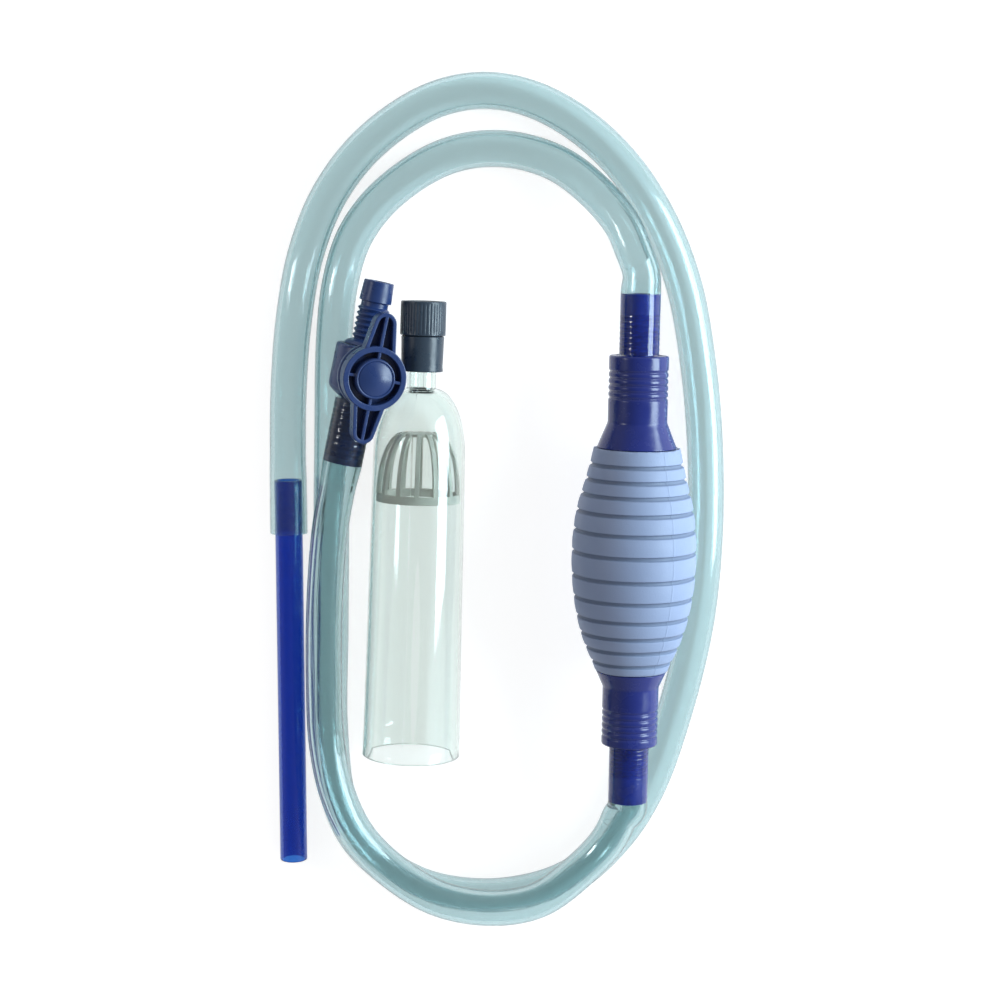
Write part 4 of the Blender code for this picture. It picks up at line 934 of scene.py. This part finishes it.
UPPER_PLUG_END = BULB_TOP + 0.0306
LOWER_PLUG_END = LOWER_RIM + 0.0120
for name, rim, plug, out, step in (("upper", UPPER_RIM, UPPER_PLUG_END, 1, 0.0025),
                                   ("lower", LOWER_RIM, LOWER_PLUG_END, -1, 0.0020)):
    add_piece(f"barb_{name}", turned(barb_outline(rim, plug, out, step), bulb_frame, 72),
              BARB_BLUE, "siphon", [f"{name}_hose_barb"], sharp=60.0)

# %% [markdown]
# ## The hand valve
# The valve is a satin blue barrel with the ball inside it. One end is a barb for the short
# hose and the other a free spigot behind six rings, which fits the gravel tube. A round
# bonnet on its side carries the stem, and the butterfly handle sits on that. The barrel
# and the bonnet are two turned shells that pass through each other, which is all that an
# opaque moulding needs.

# %% Barrel, bonnet and spigot
BARREL_RADIUS = 0.0140
BARREL_HALF = 0.0120
CHAMBER_RADIUS = 0.0094
FLANGE_START = BARREL_RADIUS + 0.0016
FLANGE_RADIUS = 0.0154
SPIGOT_RADIUS = 0.00765
SPIGOT_NECK = 0.0064

barrel_outline = [(BARB_BORE, VALVE_TIP), (BARB_CREST - 0.0006, VALVE_TIP),
                  (BARB_CREST, VALVE_TIP + 0.003)]
barrel_outline += rings(VALVE_TIP + 0.004, 0.003125, 8)
barrel_outline += [
    (BARB_ROOT, -BARREL_HALF - 0.0015), (0.0100, -BARREL_HALF, 0.0015),
    (BARREL_RADIUS, -BARREL_HALF + 0.0030, 0.0030), (BARREL_RADIUS, BARREL_HALF, 0.0016),
    (CHAMBER_RADIUS, BARREL_HALF), (CHAMBER_RADIUS, -0.0097), (BARB_BORE, -0.0097)]
bonnet_outline = [
    (0.0036, CHAMBER_RADIUS + 0.0006), (0.0090, CHAMBER_RADIUS + 0.0006),
    (0.0090, FLANGE_START, 0.0012), (FLANGE_RADIUS, FLANGE_START, 0.0006),
    (FLANGE_RADIUS, FLANGE_START + 0.0028, 0.0009), (0.0036, FLANGE_START + 0.0028)]
valve_shells = [turned(rounded(barrel_outline, 0.0003), bore_frame, 96),
                turned(rounded(bonnet_outline, 0.0004), stem_frame, 80)]
add_piece("valve_barrel", joined(valve_shells), VALVE_BLUE, "siphon", ["valve_body"],
          sharp=60.0)

spigot_tip = (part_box("valve_coupler")[1].y - VALVE_CENTRE[1]
              - (SPIGOT_RADIUS - 0.0005) * VALVE_ALONG[0]) / VALVE_ALONG[1]
neck = spigot_tip - 0.0122
coupler_outline = [
    (BARB_BORE, BARREL_HALF - 0.0024), (CHAMBER_RADIUS - FIT, BARREL_HALF - 0.0024),
    (CHAMBER_RADIUS - FIT, BARREL_HALF + FIT), (0.0110, BARREL_HALF + FIT),
    (0.0095, BARREL_HALF + 0.0018), (0.0070, BARREL_HALF + 0.0030)]
coupler_outline += rings(neck - 0.0156, 0.0026, 6, SPIGOT_RADIUS, SPIGOT_NECK)
coupler_outline += [
    (SPIGOT_NECK, neck), (SPIGOT_NECK, neck + 0.0022), (SPIGOT_RADIUS, neck + 0.0025),
    (SPIGOT_RADIUS - 0.0006, spigot_tip, 0.0005), (BARB_BORE, spigot_tip)]
add_piece("valve_spigot", turned(rounded(coupler_outline, 0.00025), bore_frame, 80), VALVE_BLUE,
          "siphon", ["valve_coupler"], sharp=60.0)
print("spigot end at station", round(spigot_tip, 4))

# %% [markdown]
# ## The butterfly handle
# The handle is a ring with two tapering arms. Seen from above it is mostly thin walls
# round deep pockets: a rim wall that follows the whole outline, the ring, four short
# spokes to the hub and a rib down each arm. Each wall is a small rounded profile carried
# along its own line, and all of them stand on one floor plate. A domed button closes the
# hub.

# %% Handle outline
HANDLE_START = FLANGE_START + 0.0034
HANDLE_HEIGHT = 0.0080
RING_RADIUS = 0.0150
RING_WALL = 0.0027
HUB_RADIUS = 0.0094
ARM_REACH = 0.0255
ARM_TIP = 0.0052
ARM_ROOT = 0.0075
RIM_WALL = 0.0018


def arc(centre, radius, start, end, count):
    """Points on an arc between two angles in degrees."""
    angle = np.radians(np.linspace(start, end, count))
    return np.column_stack([centre[0] + radius * np.cos(angle), centre[1] + radius * np.sin(angle)])


def even_loop(points, count):
    """A closed loop read again at equal lengths along it."""
    loop = np.vstack([points, points[:1]])
    along = np.concatenate([[0.0], np.cumsum(np.linalg.norm(np.diff(loop, axis=0), axis=1))])
    wanted = np.linspace(0.0, along[-1], count, endpoint=False)
    return np.column_stack([np.interp(wanted, along, loop[:, k]) for k in (0, 1)])


def softened(loop, width):
    """The loop with each point moved to the weighted mean of its neighbours."""
    offsets = np.arange(-width, width + 1)
    weights = np.exp(-(offsets / (0.5 * width)) ** 2)
    moved = sum(w * np.roll(loop, -k, axis=0) for k, w in zip(offsets, weights))
    return moved / weights.sum()


def handle_outline(inset):
    """Ring and arms seen from above, moved inwards by inset, with soft inner corners."""
    ring = RING_RADIUS - inset
    tip = ARM_TIP - inset
    half = math.degrees(math.acos((ARM_ROOT - inset) / ring))
    points = np.vstack([arc((0, 0), ring, -half, half, 40), arc((0, ARM_REACH), tip, 6, 174, 24),
                        arc((0, 0), ring, 180 - half, 180 + half, 40),
                        arc((0, -ARM_REACH), tip, 186, 354, 24)])
    return softened(even_loop(points, 720), 6)


def wall_profile(half_width, low, high, corner=0.0004):
    """An upright wall section with soft corners."""
    return rounded([(-half_width, low), (half_width, low), (half_width, high), (-half_width, high)],
                   corner, steps=3)


def in_plane(points, height):
    """Flat points lifted to a height on the stem's axis."""
    return np.column_stack([points, np.full(len(points), height)])


def placed(shell, axis_frame):
    """A shell drawn in a piece's own axes, put where the piece is."""
    points, faces = shell
    return points @ axis_frame[0].T + axis_frame[1], faces

# %% Handle walls
TOP = HANDLE_START + HANDLE_HEIGHT


def plate(outline, low, high, corner=0.0005):
    """A solid plate: the outline shrunk to its middle on both faces, with rounded edges."""
    edge = 1.0 - corner / RING_RADIUS
    rows = [(0.0, low), (0.96, low), (edge, low), (1.0, low + corner),
            (1.0, high - corner), (edge, high), (0.96, high), (0.0, high)]
    grid = np.stack([in_plane(outline * share, height) for share, height in rows])
    return grid_shell(grid, wrap_rows=False)


def straight_wall(start, end, half_width, low, high):
    """A straight wall between two points."""
    path = np.linspace((*start, 0.0), (*end, 0.0), 12)
    return wall_along(path, wall_profile(half_width, low, high), (0, 0, 1), closed=False)


def handle_shells():
    """Floor, rim, ring, hub, spokes and ribs."""
    low = HANDLE_START + 0.0004
    rim = in_plane(handle_outline(RIM_WALL / 2), 0.0)
    circle = arc((0, 0), RING_RADIUS - RING_WALL / 2, 0, 360, 121)[:-1]
    hub = [(0.0, low), (HUB_RADIUS, low), (HUB_RADIUS, TOP, 0.0006), (0.0, TOP)]
    shells = [plate(handle_outline(0.0002), HANDLE_START, HANDLE_START + 0.0014),
              wall_along(rim, wall_profile(RIM_WALL / 2, low, TOP - 0.0004), (0, 0, 1)),
              wall_along(in_plane(circle, 0.0), wall_profile(RING_WALL / 2, low, TOP), (0, 0, 1)),
              turned(rounded(hub)[6:-6], (np.eye(3), np.zeros(3)), 96, closed=False)]
    for angle in np.radians([0, 90, 180, 270]):
        way = np.array((math.cos(angle), math.sin(angle)))
        shells.append(straight_wall(way * (HUB_RADIUS - 0.001), way * (RING_RADIUS - 0.001),
                                    0.0007, low, TOP - 0.0003))
    for way in (1, -1):
        shells.append(straight_wall((0, way * (RING_RADIUS - 0.001)),
                                    (0, way * (ARM_REACH + ARM_TIP - 0.001)), 0.0008, low,
                                    TOP - 0.0005))
    return [placed(shell, stem_frame) for shell in shells]


add_piece("handle_butterfly", joined(handle_shells()), VALVE_BLUE, "handle_set",
          ["valve_handle"], poles=True, sharp=50.0)

# %% Domed button
DOME_HEIGHT = 0.0024
DOME_SHARE = 0.86


def button_outline():
    """A flat lip and a low dome, whose height is 2.4 mm times the cosine of a quarter turn's
    share, the share being that of the radius."""
    lip = HUB_RADIUS - 0.0002
    under = TOP + FIT
    share = np.linspace(DOME_SHARE, 0.0, 16)
    rise = np.cos(share * math.pi / 2) - math.cos(DOME_SHARE * math.pi / 2)
    dome = np.column_stack([lip * share, under + 0.0008 + DOME_HEIGHT * rise])
    edge = [(0.0, under), (lip - 0.0003, under), (lip, under + 0.0003), (lip, under + 0.0007),
            (lip - 0.0003, under + 0.0010), (lip - 0.0008, under + 0.0010),
            (lip * 0.88, under + 0.0006)]
    return np.vstack([edge, dome])


add_piece("handle_button", turned(button_outline(), stem_frame, 96, closed=False), VALVE_BLUE,
          "handle_set", ["handle_cap"], poles=True, sharp=60.0)

# %% [markdown]
# ## The gravel tube
# The tube is clear polystyrene, blown with a domed shoulder and a narrow neck. It has a
# real wall, so light bends at its outer and its inner face. A fine mould seam runs down
# both sides, and the wall thickness drifts a little round the tube, which gives the
# highlights their slight wobble.

# %% Tube surface
TUBE_MOUTH_RADIUS = 0.02355
TUBE_TOP_RADIUS = 0.02190
TUBE_WALL = 0.0016
TUBE_STRAIGHT = 0.1460
TUBE_DOME = 0.0320
TUBE_NECK_RADIUS = 0.0069
TUBE_NECK = 0.0200
COLLAR_STATION = 0.2120
SEAM_SIDE = math.radians(-8.0)
TUBE_ALONG = np.array(joints["collar_turn"]["axis"])
TUBE_MOUTH = np.array(joints["collar_turn"]["pos_m"]) - COLLAR_STATION * TUBE_ALONG
tube_frame = upright_frame(TUBE_ALONG, TUBE_MOUTH)


def dome_line(radius, neck_radius, start, height, count):
    """A quarter ellipse from the wall in to the neck."""
    angle = np.linspace(0.0, math.pi / 2, count)
    return np.column_stack([neck_radius + (radius - neck_radius) * np.cos(angle),
                            start + height * np.sin(angle)])


def tube_outline():
    """Outer face from the mouth up to the neck, and the inner face back down."""
    top = TUBE_STRAIGHT + TUBE_DOME + TUBE_NECK
    wall = np.linspace(0.0, 1.0, 30)[1:, None]
    mouth = np.array([[TUBE_MOUTH_RADIUS, 0.0008]])
    shoulder = np.array([[TUBE_TOP_RADIUS, TUBE_STRAIGHT]])
    outer = mouth + (shoulder - mouth) * wall
    dome_out = dome_line(TUBE_TOP_RADIUS, TUBE_NECK_RADIUS, TUBE_STRAIGHT, TUBE_DOME, 40)[1:]
    dome_in = dome_line(TUBE_TOP_RADIUS - TUBE_WALL, TUBE_NECK_RADIUS - TUBE_WALL, TUBE_STRAIGHT,
                        TUBE_DOME - TUBE_WALL, 40)[::-1]
    inner = (outer - (TUBE_WALL, 0.0))[::-1][1:]
    lip = [(TUBE_MOUTH_RADIUS - TUBE_WALL, 0.0007), (TUBE_MOUTH_RADIUS - TUBE_WALL + 0.0004, 0.0),
           (TUBE_MOUTH_RADIUS - 0.0005, 0.0), (TUBE_MOUTH_RADIUS, 0.0005)]
    return np.vstack([mouth, outer, dome_out, [(TUBE_NECK_RADIUS, top)],
                      [(TUBE_NECK_RADIUS - TUBE_WALL, top)], dome_in, inner, lip])


def tube_detail(radius, station, turn):
    """The two seams, 0.12 mm proud, and a slow drift of both faces."""
    outside = radius > TUBE_NECK_RADIUS - 0.0004
    seam = 0.00012 * seam_ridge(turn, SEAM_SIDE)
    drift = 0.00006 * np.sin(2 * turn + 40 * station) + 0.00004 * np.sin(5 * turn - 25 * station)
    return radius + np.where(outside, seam, 0.0) + drift, station


add_piece("tube_clear", turned(tube_outline(), tube_frame, angles=seamed_angles(144, SEAM_SIDE),
                               reshape=tube_detail),
          CLEAR_TUBE, "gravel_tube_set", ["gravel_tube"], sharp=50.0)
print("tube mouth centre", TUBE_MOUTH.round(4))

# %% [markdown]
# ## The strainer
# A basket of narrow ribs sits high in the tube and keeps gravel and fish out of the hose.
# The ribs spread like a fan from a small top plate down to a base ring. One rib is a
# profile carried along the dome's line, and the others are the same grid turned round the
# axis, all in one numpy step.

# %% Strainer ribs, ring and plate
STRAINER_START = TUBE_STRAIGHT - 0.0220
STRAINER_TOP = STRAINER_START + 0.0330
STRAINER_RIBS = 14
RIB_HALF = 0.0011
RIB_RISE = 0.0008
PLATE_RADIUS = 0.0088
STRAINER_BASE = (TUBE_MOUTH_RADIUS + (TUBE_TOP_RADIUS - TUBE_MOUTH_RADIUS)
                 * STRAINER_START / TUBE_STRAIGHT - TUBE_WALL - 0.0006)


def rib_grid():
    """One rib in its own axes: rows along the dome, columns round the section."""
    line = dome_line(STRAINER_BASE - 0.0008, 0.0082, STRAINER_START + 0.0030, 0.0292, 24)
    path = np.column_stack([line[:, 0], np.zeros(24), line[:, 1]])
    profile = rounded([(-RIB_HALF, -RIB_RISE), (RIB_HALF, -RIB_RISE), (RIB_HALF, RIB_RISE),
                       (-RIB_HALF, RIB_RISE)], 0.0003, steps=2)
    ahead = np.gradient(path, axis=0)
    ahead /= np.linalg.norm(ahead, axis=1, keepdims=True)
    outward = np.cross((0.0, 1.0, 0.0), ahead)
    rows = (path[:, None] + profile[None, :, 1:] * outward[:, None]
            + profile[None, :, :1] * np.array((0.0, 1.0, 0.0)))
    start = np.repeat(rows[:1].mean(axis=1, keepdims=True), len(profile), axis=1)
    end = np.repeat(rows[-1:].mean(axis=1, keepdims=True), len(profile), axis=1)
    return np.concatenate([start, rows, end])


def turned_copies(grid, count):
    """The same grid at count even turns about the local third axis."""
    turn = 2 * math.pi * np.arange(count) / count
    spin = np.zeros((count, 3, 3))
    spin[:, 0, 0] = spin[:, 1, 1] = np.cos(turn)
    spin[:, 0, 1] = -np.sin(turn)
    spin[:, 1, 0] = np.sin(turn)
    spin[:, 2, 2] = 1.0
    return np.einsum("nij,rcj->nrci", spin, grid)


def strainer_shells():
    """Ribs, base ring and top plate, in the tube's axes."""
    ribs = [grid_shell(copy, wrap_rows=False) for copy in turned_copies(rib_grid(), STRAINER_RIBS)]
    inner, ring_top = STRAINER_BASE - 0.0018, STRAINER_START + 0.0040
    ring = [(inner, STRAINER_START), (STRAINER_BASE, STRAINER_START),
            (STRAINER_BASE, ring_top), (inner, ring_top)]
    cap = [(0.0, STRAINER_TOP - 0.0018), (PLATE_RADIUS, STRAINER_TOP - 0.0018),
           (PLATE_RADIUS, STRAINER_TOP - 0.0004), (0.0, STRAINER_TOP)]
    own = (np.eye(3), np.zeros(3))
    return ribs + [turned(rounded(ring), own, 96),
                   turned(rounded(cap)[6:-6], own, 64, closed=False)]


add_piece("strainer_basket", joined([placed(shell, tube_frame) for shell in strainer_shells()]),
          NATURAL, "strainer_body", ["strainer"], poles=True, sharp=50.0)

# %% [markdown]
# ## Socket and fluted collar
# A slate blue socket is glued on the tube's neck, and a fluted collar screws on it and
# clamps what is pushed in. The flutes are a wave in the collar's radius, so they need
# enough columns: sixteen for each flute.

# %% Socket
SOCKET_START = TUBE_STRAIGHT + TUBE_DOME + 0.0080
SOCKET_TOP = SOCKET_START + 0.0168
SOCKET_RADIUS = 0.01018
SPOUT_TOP = SOCKET_TOP + 0.0110
SOCKET_LEDGE = SOCKET_START + 0.0123
socket_outline = [
    (0.0072, SOCKET_START), (SOCKET_RADIUS, SOCKET_START, 0.0007),
    (0.00985, SOCKET_START + 0.0022, 0.0010), (SOCKET_RADIUS, SOCKET_TOP, 0.0007),
    (0.0086, SOCKET_TOP), (0.0086, SPOUT_TOP), (0.0062, SPOUT_TOP), (0.0062, SOCKET_LEDGE),
    (0.0072, SOCKET_LEDGE)]
add_piece("socket_slate", turned(rounded(socket_outline, 0.0003), tube_frame, 96), SLATE_BLUE,
          "gravel_tube_set", ["tube_socket"], sharp=60.0)

# %% Collar
COLLAR_LOW = SOCKET_TOP + FIT
COLLAR_HIGH = COLLAR_LOW + 0.0162
COLLAR_RADIUS = 0.0108
FLUTES = 36


def collar_flutes(radius, station, turn):
    """A scalloped wave round the outer wall, 0.2 mm deep, that fades out at both ends."""
    wall = radius > COLLAR_RADIUS - 0.0003
    ends = np.clip((station - COLLAR_LOW - 0.0006) / 0.0008, 0, 1)
    ends = ends * np.clip((COLLAR_HIGH - 0.0009 - station) / 0.0008, 0, 1)
    wave = np.abs(np.sin(FLUTES * turn / 2)) ** 0.7
    return radius - np.where(wall, 0.00020 * (1.0 - wave) * ends, 0.0), station


collar_outline = [
    (0.0089, COLLAR_LOW), (COLLAR_RADIUS, COLLAR_LOW, 0.0004), (COLLAR_RADIUS, COLLAR_HIGH, 0.0007),
    (0.0080, COLLAR_HIGH), (0.0080, COLLAR_HIGH - 0.0026), (0.0089, COLLAR_HIGH - 0.0026)]
add_piece("collar_fluted", turned(divided(rounded(collar_outline, 0.0003), 0.0008), tube_frame,
                                  16 * FLUTES, reshape=collar_flutes),
          SLATE_BLUE, "collar_body", ["knurled_collar"], sharp=60.0)

# %% [markdown]
# ## The outlet pipe
# The long hose ends on a rigid pipe of translucent blue plastic. It is cut square, with
# the edges just broken, and its colour deepens where the eye looks along the wall.

# %% Pipe
PIPE_BORE = 0.0054
pipe_outline = [(PIPE_BORE, 0.0), (PIPE_RADIUS, 0.0), (PIPE_RADIUS, PIPE_LENGTH),
                (PIPE_BORE, PIPE_LENGTH)]
add_piece("pipe_blue", turned(divided(rounded(pipe_outline, 0.0004), 0.010), pipe_frame, 72),
          CLEAR_BLUE, "pipe_body", ["outlet_pipe"], sharp=60.0)

# %% [markdown]
# ## Pieces that stay as they are
# The valve seats, flaps, sealing rings, the ball, the stem and the washer keep their CAD
# shape: they sit inside the caps, the valve and the collar. They only need their finish.

# %% Finishes of the inner pieces
def finish_nodes(material, names):
    """Give CAD nodes that stay in view a built material."""
    for name in names:
        node = frame["nodes"][name]
        node.material_slots[0].material = material
    print(material.name, "on", len(names), "inner pieces")


finish_nodes(NATURAL, ("upper_valve_seat", "lower_valve_seat", "valve_ball",
                                          "upper_ball_seat", "lower_ball_seat", "valve_stem"))
finish_nodes(RUBBER, ("upper_check_flap", "lower_check_flap", "upper_seal_ring",
                                      "lower_seal_ring", "stem_seal_ring", "collar_washer"))
